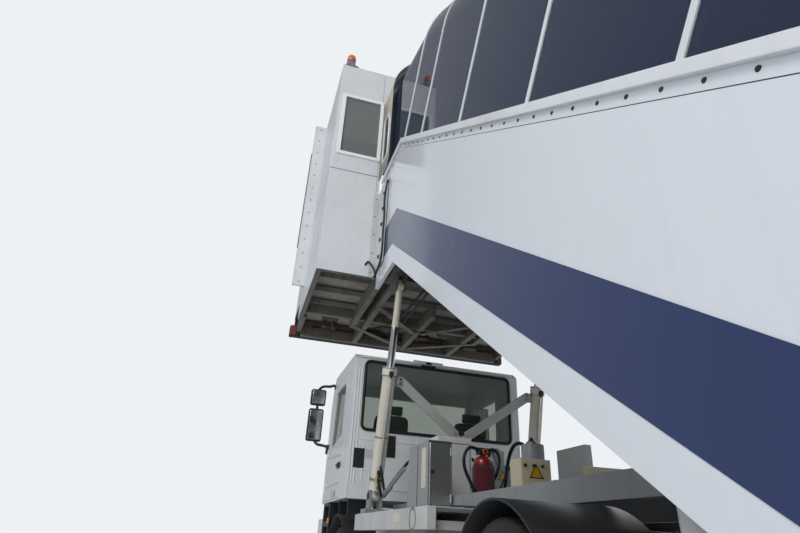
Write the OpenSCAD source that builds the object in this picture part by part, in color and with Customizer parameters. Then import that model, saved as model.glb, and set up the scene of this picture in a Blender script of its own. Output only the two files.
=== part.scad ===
// Truck-mounted passenger stairs for aircraft, in millimetres.
// +X is forward, +Y is the truck's left, +Z is up, and the origin is on the ground under the middle of the outline.
// Every part is drawn from the rear axle (x = 0) and the last lines shift it to that origin.

/* [Truck] */
// Distance between the axles
wheelbase = 4185; // [3900:5:4500]
// Tyre outer diameter
tyre_d = 870; // [820:5:900]
// Tyre section width
tyre_w = 260; // [230:5:270]
// Rim diameter at the bead seat
rim_d = 495; // [470:5:520]
// Middle of a front tyre from the centreline
front_tyre_y = 900; // [880:5:920]
// Middle of the outer rear tyre from the centreline
twin_outer_y = 985; // [975:1:990]
// Distance between the middles of twin tyres
twin_gap = 295; // [285:1:305]
// Height of the chassis frame's top face
frame_top_z = 880; // [860:5:900]
// Depth of a chassis rail
rail_depth = 220; // [180:5:240]
// Flange width of a chassis rail
rail_flange = 70; // [50:5:90]
// Chassis rail plate thickness
rail_plate = 8; // [6:1:10]
// Outer face of the chassis rails from the centreline
frame_half_w = 400; // [380:5:420]
// Rear end of the chassis rails
frame_rear_x = -1000; // [-1010:5:-960]

/* [Cab] */
// Rear wall of the cab
cab_rear_x = 3775; // [3740:5:3800]
// Front face of the cab
cab_front_x = 5430; // [5380:5:5460]
// Width of the cab
cab_w = 2140; // [2080:10:2200]
// Underside of the cab floor
cab_floor_z = 1140; // [1100:5:1160]
// Top of the cab roof
cab_roof_z = 2780; // [2740:5:2800]
// Thickness of the cab's double walls
cab_wall = 55; // [40:1:60]
// Door thickness
door_t = 58; // [48:1:62]
// Gap round a door
door_gap = 6; // [5:1:10]

/* [Stairs] */
// Slope of the stairs in degrees
slope = 35.84; // [35:0.01:37]
// Height of the landing and of the platform floor
floor_z = 3800; // [3780:5:3820]
// Front nose of the landing, where the steps begin
landing_x = 2278; // [2260:1:2300]
// Front end of the stairs' side panels
stair_front_x = 3030; // [3010:5:3035]
// Rear end of the stairs
tail_x = -2750; // [-2780:5:-2720]
// Height of the tail's underside
tail_z = 260; // [250:5:300]
// Outer face of a side panel from the centreline
panel_y = 1070; // [1060:1:1075]
// Thickness of a side panel
panel_t = 40; // [30:1:50]
// Rail height above the step noses, measured straight up
rail_over_nose = 1100; // [1050:5:1150]
// Panel depth below the step noses, measured straight up
skirt_under_nose = 523; // [500:1:540]
// Rail height over the landing
rail_over_landing = 1030; // [1000:5:1060]
// Panel depth below the landing
skirt_under_landing = 500; // [480:5:510]
// Height of one step
rise = 190; // [185:1:195]
// Number of treads under the landing
tread_count = 18; // [17:1:18]
// Height of the outer rail that carries the canopy
top_rail_h = 57; // [50:1:65]
// How far that rail stands out from the panel
top_rail_proud = 26; // [20:1:28]

/* [Canopy] */
// Height of the straight glazed side above the rail, square to the slope
canopy_side_h = 1050; // [1000:10:1100]
// Radius of the roof corners
canopy_r = 650; // [600:10:700]
// Outer face of the glazing from the centreline
canopy_y = 1050; // [1040:1:1056]
// Glazing thickness
glazing_t = 8; // [6:1:12]
// Width of a hoop along the slope
hoop_w = 40; // [30:1:50]
// Depth of a hoop inside the glazing
hoop_in = 34; // [24:1:40]
// How far a hoop stands out of the glazing
hoop_out = 10; // [6:1:12]
// Spacing of the hoops, measured level
hoop_pitch = 980; // [960:5:1000]
// Top of the front hoop
front_hoop_z = 6720; // [6700:5:6725]

/* [Platform] */
// Rear wall of the platform cabin
platform_rear_x = 3150; // [3145:1:3160]
// Front end of the cabin's side walls
cabin_front_x = 4700; // [4600:10:4800]
// Front edge of the platform floor
platform_front_x = 5600; // [5550:10:5640]
// Half of the platform's width
platform_half_w = 1750; // [1730:5:1760]
// Underside of the platform frame
platform_under_z = 3500; // [3490:5:3510]
// Top of the cabin roof
cabin_roof_z = 6790; // [6785:1:6800]
// Thickness of the cabin walls and roof
cabin_wall = 38; // [30:1:40]
// Half of the doorway between the canopy and the cabin
doorway_half_w = 1092; // [1088:1:1096]
// Depth of the black front buffer
buffer_d = 120; // [100:5:140]
// Half of the front buffer's length
buffer_half_w = 1800; // [1780:5:1820]

/* [Lift] */
// Height of the pivot under the stairs
pivot_z = 1010; // [1000:1:1015]
// Pivot distance behind the rear axle
pivot_back = 1050; // [1040:5:1070]
// Lift cylinders from the centreline
leg_y = 870; // [860:5:880]
// Lift cylinder's lower pin ahead of the rear axle
leg_pin_x = 3250; // [3200:5:3300]
// Height of the lower pin
leg_pin_z = 1140; // [1130:5:1150]
// Lift cylinder's upper eye ahead of the rear axle
eye_x = 2700; // [2650:5:2750]
// Height of the upper eye
eye_z = 3220; // [3210:1:3225]
// Barrel diameter
barrel_d = 135; // [125:1:145]
// Chrome rod diameter
chrome_d = 80; // [70:1:90]
// Barrel length from the lower pin
barrel_len = 1280; // [1240:5:1300]

/* [Hidden] */
$fn = 48;

// Smallest overlap that cuts run past a face
eps = 1;
// Running clearance on a radius, and the gap where pieces of different bodies nearly touch
run_gap = 0.05;
seat_gap = 0.3;

axle_z = tyre_d / 2;
t_slope = tan(slope);
c_slope = cos(slope);
going = rise / t_slope;
mid_x = (tail_x + platform_front_x + buffer_d) / 2;

// Heights of the three lines that run up the stairs, as functions of x
function nose_z(x) = floor_z + t_slope * (x - landing_x);
function rail_z(x) = nose_z(x) + rail_over_nose;
function skirt_z(x) = nose_z(x) - skirt_under_nose;
// Place along x at which a sloping line, raised by h over the noses, has the height z
function x_at(z, h) = landing_x + (z - floor_z - h) / t_slope;

rail_level_z = floor_z + rail_over_landing;
skirt_level_z = floor_z - skirt_under_landing;
rail_bend_x = x_at(rail_level_z, rail_over_nose);
skirt_bend_x = x_at(skirt_level_z, -skirt_under_nose);
tail_bend_x = x_at(tail_z, -skirt_under_nose);
// Heights square to the slope, counted from the line under the skirt
rail_w = (rail_over_nose + skirt_under_nose) * c_slope;
slope_origin_z = skirt_z(0);
hoop_first_x = -1400;

module box3(x, y, z) {
    translate([x[0], y[0], z[0]]) cube([x[1] - x[0], y[1] - y[0], z[1] - z[0]]);
}

module both_sides() {
    children();
    mirror([0, 1, 0]) children();
}

// Plate with an outline in the XZ plane, from y0 to y0 + t
module side_plate(points, y0, t) {
    translate([0, y0 + t, 0]) rotate([90, 0, 0]) linear_extrude(t) polygon(points);
}

// Round bar between two points
module round_bar(a, b, d) {
    v = b - a;
    translate(a) rotate([0, acos(v[2] / norm(v)), atan2(v[1], v[0])]) cylinder(h = norm(v), d = d);
}

// Flat or square bar between two points, w across Y where the bar lies in the XZ plane
module flat_bar(a, b, t, w) {
    v = b - a;
    translate(a) rotate([0, acos(v[2] / norm(v)), atan2(v[1], v[0])])
        translate([-t / 2, -w / 2, 0]) cube([t, w, norm(v)]);
}

// Frame with x up the slope and z square to it
module on_slope() {
    translate([0, 0, slope_origin_z]) rotate([0, -slope, 0]) children();
}

// Distance up the slope of the rail's foot point above x
function rail_u(x) = x / c_slope + rail_w * t_slope;

// Lug plate from y0 to y0 + t: a round end at [x, z] blended to the two corners of its foot
module lug(x, z, d, foot, y0, t) {
    c = [x, z];
    v = (foot[0] + foot[1]) / 2 - c;
    n = [-v[1], v[0]] / norm(v) * d / 2;
    f = (foot[1] - foot[0]) * n > 0 ? foot : [foot[1], foot[0]];
    translate([0, y0 + t, 0]) rotate([90, 0, 0]) linear_extrude(t) {
        translate(c) circle(d = d);
        polygon([c + n, c - n, f[0], f[1]]);
    }
}

module y_tube(x, z, y0, y1, d) {
    translate([x, y1, z]) rotate([90, 0, 0]) cylinder(h = y1 - y0, d = d);
}

// Truck

module rail_section() {
    difference() {
        square([rail_flange, rail_depth]);
        translate([-eps, rail_plate]) square([rail_flange - rail_plate + eps, rail_depth - 2 * rail_plate]);
    }
}

frame_front_x = cab_front_x - 130;
cross_members = [-900, -250, 700, 1700, 2700, 3500, frame_front_x - 30];

module chassis_frame() {
    color("#3a3b3c") {
        both_sides() translate([frame_rear_x, frame_half_w - rail_flange, frame_top_z - rail_depth])
            rotate([90, 0, 90]) linear_extrude(frame_front_x - frame_rear_x) rail_section();
        for (x = cross_members)
            translate([x, 0, frame_top_z - rail_depth / 2])
                cube([60, 2 * (frame_half_w - rail_plate), rail_depth - 2 * rail_plate - 40], center = true);
        // Cab mounts
        both_sides() for (x = [3850, 5150])
            box3([x - 40, x + 40], [frame_half_w - rail_flange, frame_half_w], [frame_top_z, cab_floor_z]);
    }
}

sub_y = 560;
sub_w = 60;
sub_z0 = 960;
sub_z1 = 1080;
sub_front_x = 3420;
bolster_x = [-600, 350, 1250, 2350, 3250];
equip_z = sub_z1 - 12;

module subframe() {
    color("#9a9b98") difference() {
        union() {
            both_sides() {
                box3([-pivot_back - 90, sub_front_x], [sub_y, sub_y + sub_w], [sub_z0, sub_z1]);
                // Outrigger and lug pair of the lift cylinder
                box3([leg_pin_x - 110, leg_pin_x + 110], [sub_y + sub_w, leg_y + 110], [sub_z0, sub_z0 + 60]);
                for (y = [leg_y - 65, leg_y + 45])
                    lug(leg_pin_x, leg_pin_z, 110,
                        [[leg_pin_x + 90, sub_z0 + 59], [leg_pin_x - 90, sub_z0 + 59]], y, 20);
            }
            for (x = bolster_x) box3([x - 50, x + 50], [-sub_y, sub_y], [frame_top_z, sub_z1 - 20]);
            // Plate that carries the equipment, and lug pair of the sway brace
            box3([300, 2950], [-sub_y, sub_y], [sub_z1 - 20, equip_z]);
            for (y = [-62, 42])
                lug(leg_pin_x, leg_pin_z, 110,
                    [[leg_pin_x + 50, sub_z1 - 21], [leg_pin_x - 50, sub_z1 - 21]], y, 20);
            both_sides() for (x = bolster_x) box3([x - 50, x + 50], [sub_y, sub_y + sub_w], [frame_top_z, sub_z0]);
        }
        y_tube(-pivot_back, pivot_z, -sub_y - sub_w - eps, sub_y + sub_w + eps, pivot_d + 2 * run_gap);
        y_tube(leg_pin_x, leg_pin_z, -leg_y - 80, leg_y + 80, leg_pin_d + 2 * run_gap);
    }
}

pivot_d = 80;
leg_pin_d = 50;

engine_x = [4280, 5120];

module engine_block() {
    color("#4b4d4f") box3(engine_x, [-300, 300], [560, 1080]);
}

kingpin_y = 780;
kingpin_d = 44;

module front_axle() {
    color("#2f3031") difference() {
        union() {
            extrude_x(wheelbase - 40, wheelbase + 40) polygon([
                [-kingpin_y, axle_z - 50], [-690, axle_z - 50], [-560, 330], [560, 330], [690, axle_z - 50], [kingpin_y, axle_z - 50],
                [kingpin_y, axle_z + 50], [690, axle_z + 50], [540, 420], [-540, 420], [-690, axle_z + 50], [-kingpin_y, axle_z + 50]
            ]);
            both_sides() translate([wheelbase, kingpin_y, axle_z - 50]) cylinder(h = 100, d = 92);
        }
        both_sides() translate([wheelbase, kingpin_y, axle_z - 60]) cylinder(h = 120, d = kingpin_d + 2 * run_gap);
    }
}

hub_d = 90;
twin_inner_y = twin_outer_y - twin_gap;
rear_hub_y = [twin_inner_y - 100, twin_outer_y + 40];

module rear_axle() {
    color("#2f3031") {
        y_tube(0, axle_z, -rear_hub_y[1], rear_hub_y[1], hub_d);
        y_tube(0, axle_z, -480, 480, 150);
        translate([0, 0, axle_z]) rotate([90, 0, 0]) cylinder(h = 150, d = 380, center = true);
        translate([60, 0, axle_z]) rotate([0, 90, 0]) cylinder(h = 260, d1 = 300, d2 = 150);
        round_bar([320, 0, axle_z], [engine_x[0] - 3, 0, 680], 80);
    }
}

spring_y = 440;

module leaf_pack(x, half_len, z_mid, z_end) {
    side_plate([
        [x - half_len, z_end - 12], [x - 90, z_mid - 55], [x + 90, z_mid - 55], [x + half_len, z_end - 12],
        [x + half_len, z_end + 12], [x + 90, z_mid + 12], [x - 90, z_mid + 12], [x - half_len, z_end + 12]
    ], spring_y, 70);
}

module leaf_springs() {
    color("#262728") both_sides() {
        leaf_pack(0, 720, axle_z + 160, 700);
        box3([-60, 60], [spring_y, spring_y + 70], [axle_z + 75 + seat_gap, axle_z + 106]);
        leaf_pack(wheelbase, 800, 475 + seat_gap, 640);
        for (x = [-700, 700]) box3([x - 35, x + 35], [frame_half_w, spring_y], [640, 780]);
        for (x = [-700, 700]) box3([x - 35, x + 35], [spring_y, spring_y + 70], [694, 780]);
        for (x = [wheelbase - 780, wheelbase + 780]) {
            box3([x - 30, x + 30], [frame_half_w, spring_y], [600, 780]);
            box3([x - 30, x + 30], [spring_y, spring_y + 70], [634, 780]);
        }
    }
}

module tanks() {
    color("#b9bbbd") {
        translate([1300, 0, 0]) rotate([90, 0, 90]) linear_extrude(1000) translate([470, 420])
            union() {
                translate([60, 0]) square([400, 440]);
                translate([0, 60]) square([520, 320]);
                for (p = [[60, 60], [460, 60], [60, 380], [460, 380]]) translate(p) circle(r = 60);
            }
        for (x = [1450, 2150]) box3([x - 25, x + 25], [frame_half_w, 470], [500, 840]);
    }
    color("#2f3031") {
        for (z = [560, 780]) translate([1300, -620, z]) rotate([0, 90, 0]) cylinder(h = 900, d = 200);
        for (x = [1450, 2050]) box3([x - 20, x + 20], [-520, -frame_half_w], [500, 840]);
        box3([2350, 2890], [-940, -frame_half_w], [470, 820]);
    }
}

// Cab

screen_foot_z = 1780;
screen_top_z = 2610;
screen_top_x = cab_front_x - 190;

function cab_outline(d) = [
    [cab_rear_x + d, cab_floor_z + d], [cab_front_x - d, cab_floor_z + d], [cab_front_x - d, screen_foot_z],
    [screen_top_x - d, screen_top_z], [screen_top_x - 120 - d * 0.4, cab_roof_z - d], [cab_rear_x + 90, cab_roof_z - d],
    [cab_rear_x + d, cab_roof_z - 70]
];

door_x = [4180, 5210];
door_z = [cab_floor_z + 20, 2640];
door_front_top_x = 5090;

function door_outline(d) = [
    [door_x[0] + d, door_z[0] + d], [door_x[1] - d, door_z[0] + d], [door_x[1] - d, 1850],
    [door_front_top_x - d, door_z[1] - d], [door_x[0] + d, door_z[1] - d]
];

function door_window(d) = [
    [door_x[0] + 130 + d, 1880 + d], [door_x[1] - 130 - d, 1790 + d], [door_x[1] - 150 - d, 1900],
    [door_front_top_x - 110 - d, door_z[1] - 110 - d], [door_x[0] + 130 + d, door_z[1] - 110 - d]
];

rear_window_y = 930;
rear_window_z = [1890, 2670];
screen_y = 960;

module cab_body(d) {
    intersection() {
        side_plate(cab_outline(d), -cab_w / 2 + d, cab_w - 2 * d);
        translate([0, 0, cab_floor_z - 10]) linear_extrude(cab_roof_z)
            cab_plan(d);
    }
}

module cab_plan(d) {
    r = 150;
    y = cab_w / 2 - d;
    union() {
        translate([cab_rear_x, -y]) square([cab_front_x - cab_rear_x - d - r, 2 * y]);
        translate([cab_rear_x, -y + r]) square([cab_front_x - cab_rear_x - d, 2 * y - 2 * r]);
        for (s = [-1, 1]) translate([cab_front_x - d - r, s * (y - r)]) circle(r = r);
    }
}

module cab_shell() {
    color("#e9eae8") difference() {
        cab_body(0);
        cab_body(cab_wall);
        // Rear window and windscreen
        box3([cab_rear_x - eps, cab_rear_x + cab_wall + 120], [-rear_window_y, rear_window_y], rear_window_z);
        box3([screen_top_x - 160, cab_front_x + eps], [-screen_y, screen_y], [screen_foot_z + 40, screen_top_z - 10]);
        both_sides() {
            side_plate(door_outline(0), cab_w / 2 - door_t - eps, door_t + 2 * eps);
            door_knuckles(-seat_gap, hinge_knuckle_h + 2 * seat_gap, hinge_knuckle_d + 1);
        }
    }
    color("#e9eae8") both_sides() {
        door_knuckles(-hinge_knuckle_h / 2 - seat_gap, hinge_knuckle_h / 2, hinge_knuckle_d);
        door_knuckles(hinge_knuckle_h + seat_gap, hinge_knuckle_h / 2, hinge_knuckle_d);
        door_knuckles(-hinge_knuckle_h / 2, 2 * hinge_knuckle_h, door_pin_d);
    }
}

// Hinge of a door: a knuckle on the door between two on the cab
door_hinge_x = door_x[1] - door_gap - 1;
door_hinge_y = cab_w / 2 - 1;
door_hinge_z = [1300, 1720];
hinge_knuckle_d = 22;
hinge_knuckle_h = 60;
door_pin_d = 9;

module door_knuckles(z, h, d) {
    for (z0 = door_hinge_z) translate([door_hinge_x, door_hinge_y, z0 + z]) cylinder(h = h, d = d);
}

glass_t = 6;

module cab_glass() {
    color("#26303a") {
        box3([cab_rear_x + 12, cab_rear_x + 12 + glass_t], [-rear_window_y, rear_window_y], rear_window_z);
        // Raked windscreen pane
        side_plate([
            [cab_front_x - 20 - glass_t, screen_foot_z + 40], [cab_front_x - 20, screen_foot_z + 40],
            [screen_top_x - 20, screen_top_z - 10], [screen_top_x - 20 - glass_t, screen_top_z - 10]
        ], -screen_y, 2 * screen_y);
    }
}

seat_y = 520;

module cab_seats() {
    color("#3b3e44") both_sides() {
        box3([4080, 4560], [seat_y - 240, seat_y + 240], [1480, 1600]);
        translate([4080, 0, 1600]) rotate([0, -12, 0]) box3([0, 130], [seat_y - 230, seat_y + 230], [0, 620]);
        box3([4160, 4480], [seat_y - 150, seat_y + 150], [cab_floor_z + cab_wall, 1480]);
    }
}

module dashboard() {
    color("#2b2d30") {
        side_plate([
            [5000, 1560], [5330, 1430], [5330, 1740], [5180, 1790], [5020, 1740]
        ], -950, 1900);
        box3([5200, 5330], [-900, 900], [cab_floor_z + cab_wall, 1430]);
        // Steering column and wheel
        round_bar([5060, seat_y, 1600], [4896, seat_y, 1795], 60);
        translate([4890, seat_y, 1802]) rotate([0, -40, 0]) difference() {
            cylinder(h = 28, d = 450, center = true);
            difference() {
                cylinder(h = 40, d = 390, center = true);
                cube([60, 400, 50], center = true);
            }
        }
    }
}

grille_z = [1190, 1700];
grille_half_w = 820;

module grille_panel() {
    color("#232527") difference() {
        box3([cab_front_x, cab_front_x + 26], [-grille_half_w, grille_half_w], grille_z);
        for (k = [0 : 4])
            box3([cab_front_x + 8, cab_front_x + 27], [-grille_half_w + 60, grille_half_w - 60],
                [grille_z[0] + 50 + k * 88, grille_z[0] + 100 + k * 88]);
    }
}

bumper_rear_x = cab_front_x - 230;
tow_pin_x = cab_front_x + 90;
tow_pin_d = 42;

module front_bumper() {
    color("#dcdddb") difference() {
        union() {
            box3([bumper_rear_x, cab_front_x + 60], [-1060, 1060], [420, 960]);
            box3([frame_front_x, cab_front_x - 30], [-380, 380], [960, 1130]);
        }
        box3([bumper_rear_x - 1, cab_front_x], [-1000, 1000], [419, 930]);
        for (s = [-1, 1]) box3([cab_front_x - 10, cab_front_x + 61], [s * 820 - 150, s * 820 + 150], [640, 800]);
        box3([cab_front_x - 10, cab_front_x + 61], [-420, 420], [560, 760]);
    }
    // Brackets on the frame's ends
    color("#3a3b3c") both_sides()
        box3([frame_front_x, cab_front_x], [frame_half_w - rail_flange, frame_half_w], [frame_top_z - 100, frame_top_z]);
    // Towing jaw
    color("#2f3031") difference() {
        union() {
            box3([frame_front_x, cab_front_x + 60], [-70, 70], [590, 730]);
            for (z = [590, 690]) translate([tow_pin_x, 0, z]) cylinder(h = 40, d = 140);
        }
        box3([cab_front_x + 10, cab_front_x + 61], [-71, 71], [630, 690]);
        translate([tow_pin_x, 0, 580]) cylinder(h = 160, d = tow_pin_d);
    }
}

module headlamps() {
    color("#d7e2ea") both_sides()
        box3([cab_front_x, cab_front_x + 52], [670 + seat_gap, 970 - seat_gap], [640 + seat_gap, 800 - seat_gap]);
}

mirror_x = 5330;
mirror_root_x = 5240;

module cab_mirrors() {
    color("#1e1f20") both_sides() {
        box3([mirror_x - 45, mirror_x + 45], [1170, 1380], [1890, 2330]);
        box3([mirror_x - 40, mirror_x + 40], [1180, 1370], [2380, 2600]);
        for (z = [1960, 2300, 2420]) {
            box3([mirror_root_x - 20, mirror_root_x + 20], [cab_w / 2, cab_w / 2 + 10], [z - 30, z + 30]);
            round_bar([mirror_root_x + 4, cab_w / 2 + 9, z], [mirror_x - 30, 1190, z], 24);
        }
        round_bar([mirror_x, 1275, 2320], [mirror_x, 1275, 2390], 26);
    }
}

module door() {
    difference() {
        union() {
            difference() {
                side_plate(door_outline(door_gap), cab_w / 2 - door_t, door_t);
                door_knuckles(-hinge_knuckle_h / 2 - 1, 2 * hinge_knuckle_h + 2, hinge_knuckle_d + 1);
            }
            door_knuckles(0, hinge_knuckle_h, hinge_knuckle_d);
            for (z = door_hinge_z)
                box3([door_hinge_x - 20, door_hinge_x], [door_hinge_y - 9, door_hinge_y + 1], [z, z + hinge_knuckle_h]);
        }
        side_plate(door_window(0), cab_w / 2 - door_t - eps, door_t + 2 * eps);
        door_knuckles(-1, hinge_knuckle_h + 2, door_pin_d + 2 * run_gap);
    }
}

module door_glass() {
    side_plate(door_window(0), cab_w / 2 - door_t / 2, glass_t);
}

module door_left() { color("#e9eae8") door(); }
module door_right() { color("#e9eae8") mirror([0, 1, 0]) door(); }
module door_glass_left() { color("#26303a") door_glass(); }
module door_glass_right() { color("#26303a") mirror([0, 1, 0]) door_glass(); }

// Band of a mudguard over a wheel, between two angles measured from level
module guard_band(x, r, t, a0, a1, y0, y1) {
    translate([x, y1, axle_z]) rotate([90, 0, 0]) linear_extrude(y1 - y0) difference() {
        circle(r = r + t);
        circle(r = r);
        polygon([
            [0, 0], 3 * r * [cos(a1), sin(a1)], 3 * r * [-1, 0], 3 * r * [-1, -1], 3 * r * [1, -1], 3 * r * [1, 0],
            3 * r * [cos(a0), sin(a0)]
        ]);
    }
}

rear_guard_r = 500;
front_guard_r = 545;

module mudguards() {
    color("#1d1e1f") both_sides() {
        guard_band(0, rear_guard_r, 10, 4, 176, 560, 1140);
        for (x = [-350, 350]) round_bar([x, frame_half_w, axle_z + 380], [x, 600, axle_z + 380], 40);
        guard_band(wheelbase, front_guard_r, 10, 18, 162, 700, 1060);
        for (x = [wheelbase - 250, wheelbase + 250])
            box3([x - 15, x + 15], [760, 1000], [axle_z + 490, cab_floor_z]);
    }
}

step_front_x = [wheelbase + 575, bumper_rear_x];

module cab_steps() {
    color("#2a2b2c") both_sides() {
        difference() {
            box3(step_front_x, [700, 1055], [400, cab_floor_z - 5]);
            for (z = [450, 700, 930])
                box3([step_front_x[0] + 50, step_front_x[1] - 40], [760, 1056], [z, z + 170]);
        }
    }
}

deck_x = [900, 2900];
deck_z = 950;

module side_deck() {
    color("#dfe0de") both_sides() {
        box3(deck_x, [1070, 1130], [deck_z - 130, deck_z]);
        for (x = [deck_x[0] + 60, 2320, deck_x[1] - 120]) {
            box3([x, x + 60], [frame_half_w, 1070], [deck_z - 125, deck_z - 75]);
            box3([x, x + 60], [700, 760], [deck_z - 75, deck_z - 8]);
        }
    }
    color("#8d8f90") both_sides()
        box3(deck_x, [sub_y + sub_w, 1070], [deck_z - 8, deck_z]);
}

module control_cabinet() {
    color("#b4b8ba") {
        box3([1760, 2270], [630, 830], [deck_z + 30, deck_z + 530]);
        box3([1800, 2230], [650, 810], [deck_z, deck_z + 30]);
    }
}

module service_cabinet() {
    color("#e6e6e2") {
        box3([2400, 2700], [180, 520], [equip_z, 1640]);
        box3([1700, 2150], [-sub_y - sub_w, -sub_y], [sub_z1, 1560]);
    }
}

module electric_box() {
    color("#d8d2bd") box3([1250, 1420], [60, 300], [equip_z, 1330]);
    color("#a9acac") side_plate([[500, equip_z], [1100, equip_z], [1100, 1290], [560, 1210]], -560, 460);
}

module fire_extinguisher() {
    color("#b01a1c") {
        translate([2000, 250, equip_z]) cylinder(h = 312, d = 170);
        translate([2000, 250, equip_z + 312]) cylinder(h = 60, d1 = 170, d2 = 60);
        translate([2000, 250, equip_z + 372]) cylinder(h = 60, d = 44);
    }
}

module hydraulic_unit() {
    color("#8f9496") {
        translate([1600, 0, equip_z]) cylinder(h = 420, d = 180);
        box3([2380, 2900], [-420, 60], [equip_z, 1420]);
        translate([2640, -180, 1420]) cylinder(h = 160, d = 170);
    }
}

jack_front_x = 3000;
jack_rear_x = -880;
jack_y = 830;
jack_d = 90;
jack_tube = 130;
jack_foot_z = 262;

module jack_housing(x) {
    difference() {
        union() {
            translate([x, jack_y, 380]) cylinder(h = sub_z0 - 380 - 10, d = jack_tube);
            box3([x - 55, x + 55], [frame_half_w, jack_y], [700, 850]);
        }
        translate([x, jack_y, 370]) cylinder(h = 560, d = jack_d + 2 * run_gap);
    }
}

module jack_housings() {
    color("#d9dad8") both_sides() for (x = [jack_front_x, jack_rear_x]) jack_housing(x);
}

module jack(x) {
    translate([x, jack_y, jack_foot_z + 22]) cylinder(h = 520, d = jack_d);
    translate([x, jack_y, jack_foot_z]) cylinder(h = 22, d = 240);
}

module front_jacks() { color("#b9bcbe") both_sides() jack(jack_front_x); }
module rear_jacks() { color("#b9bcbe") both_sides() jack(jack_rear_x); }

// Stairs

panel_outline = [
    [tail_x, tail_z], [tail_bend_x, tail_z], [skirt_bend_x, skirt_level_z], [stair_front_x, skirt_level_z],
    [stair_front_x, rail_level_z], [rail_bend_x, rail_level_z], [tail_x, rail_z(tail_x)]
];

module side_panels() {
    color("#f1f3f4") both_sides() side_plate(panel_outline, panel_y - panel_t, panel_t);
}

stripe_top = 956;
stripe_bottom = 1418;
stripe_t = 3;
stripe_level = [3560, 3930];

module side_stripes() {
    top_bend = x_at(stripe_level[1], rail_over_nose - stripe_top);
    low_bend = x_at(stripe_level[0], rail_over_nose - stripe_bottom);
    low_tail = x_at(tail_z, rail_over_nose - stripe_bottom);
    color("#22427c") both_sides() side_plate([
        [tail_x, tail_z], [low_tail, tail_z], [low_bend, stripe_level[0]], [stair_front_x - 100, stripe_level[0]],
        [stair_front_x - 100, stripe_level[1]], [top_bend, stripe_level[1]], [tail_x, rail_z(tail_x) - stripe_top]
    ], panel_y, stripe_t);
}

stringer_y = [905, 985];
// Lower and upper edge of a sloping stringer, straight up from the step noses
stringer_lift = [-470, -250];
landing_beam_z = [3360, 3520];

module stair_frame() {
    color("#4a4c4d") difference() {
        union() {
            both_sides() {
                // Stringer, level under the landing and at the tail
                side_plate([
                    [tail_x + 80, tail_z + 20], [x_at(tail_z + 20, stringer_lift[0]), tail_z + 20],
                    [x_at(landing_beam_z[0], stringer_lift[0]), landing_beam_z[0]],
                    [stair_front_x - 60, landing_beam_z[0]], [stair_front_x - 60, landing_beam_z[1]],
                    [x_at(landing_beam_z[1], stringer_lift[1]), landing_beam_z[1]],
                    [x_at(tail_z + 80, stringer_lift[1]), tail_z + 80], [tail_x + 80, tail_z + 80]
                ], stringer_y[0], stringer_y[1] - stringer_y[0]);
                // Brackets between stringer and side panel
                for (x = [-1700, -700, 300, 1300])
                    box3([x - 30, x + 30], [stringer_y[1], panel_y - panel_t], [skirt_z(x) + 150, skirt_z(x) + 210]);
                box3([tail_x + 120, tail_x + 180], [stringer_y[1], panel_y - panel_t], [tail_z + 20, tail_z + 80]);
                box3([2500, 2560], [stringer_y[1], panel_y - panel_t], landing_beam_z);
                box3([2880, 2940], [stringer_y[1], panel_y - panel_t], landing_beam_z);
                // Lug pair for the lift cylinder's eye
                for (y = [leg_y - 60, leg_y + 40])
                    lug(eye_x, eye_z, 100,
                        [[eye_x - 80, landing_beam_z[0] + 30], [eye_x + 80, landing_beam_z[0] + 30]], y, 20);
            }
            for (x = [eye_x, stair_front_x - 100])
                box3([x - 80, x + 40], [-stringer_y[0], stringer_y[0]], [landing_beam_z[0] + 20, landing_beam_z[1]]);
            for (x = [-300, 700, 1700])
                y_tube(x, skirt_z(x) + 170, -stringer_y[0], stringer_y[0], 70);
            box3([tail_x + 120, tail_x + 180], [-stringer_y[0], stringer_y[0]], [tail_z + 20, tail_z + 80]);
            // Posts that carry the landing
            for (x = [2355, eye_x - 5, stair_front_x - 105], y = [-stringer_y[0] - 40, stringer_y[0]])
                box3([x - 20, x + 20], [y, y + 40], [landing_beam_z[1], floor_z - 40]);
            for (x = [2320, eye_x - 40, stair_front_x - 150])
                box3([x, x + 70], [-stringer_y[0], stringer_y[0]], [floor_z - 90, floor_z - 40]);
            // Rear pivot shaft
            y_tube(-pivot_back, pivot_z, -stringer_y[0], stringer_y[0], pivot_d);
            // Knuckles of the platform hinge
            for (y = hinge_ys)
                lug(hinge_x, hinge_z, 70,
                    [[stair_front_x - 90, floor_z - 88], [stair_front_x - 90, floor_z - 45]], y - 40, 80);
        }
        y_tube(hinge_x, hinge_z, -900, 900, hinge_d + 2 * run_gap);
        y_tube(eye_x, eye_z, -leg_y - 70, leg_y + 70, eye_pin_d + 2 * run_gap);
    }
    color("#c9cccd") both_sides() y_tube(eye_x, eye_z, leg_y - 66, leg_y + 66, eye_pin_d);
}

hinge_x = 2990;
hinge_z = 3720;
hinge_d = 36;
hinge_ys = [-800, -300, 300, 800];
eye_pin_d = 46;

tread_t = 38;

module steps() {
    color("#8b8d8e") {
        for (k = [1 : tread_count]) {
            x = k == tread_count ? tail_x + 20 : landing_x - k * going;
            next_x = landing_x - (k - 1) * going;
            z = floor_z - k * rise;
            difference() {
                box3([x, next_x + 24], [-(panel_y - panel_t), panel_y - panel_t], [z - tread_t, z]);
                for (j = [0 : 2]) box3([x + 30 + j * 22, x + 40 + j * 22], [-960, 960], [z - 3, z + 1]);
            }
            // Riser under the next nose
            box3([next_x, next_x + 4], [-(panel_y - panel_t), panel_y - panel_t], [z, z + rise - tread_t]);
        }
        box3([landing_x, hinge_x - 8], [-(panel_y - panel_t), panel_y - panel_t], [floor_z - 40, floor_z]);
    }
}

rail_in = 100;

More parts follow.
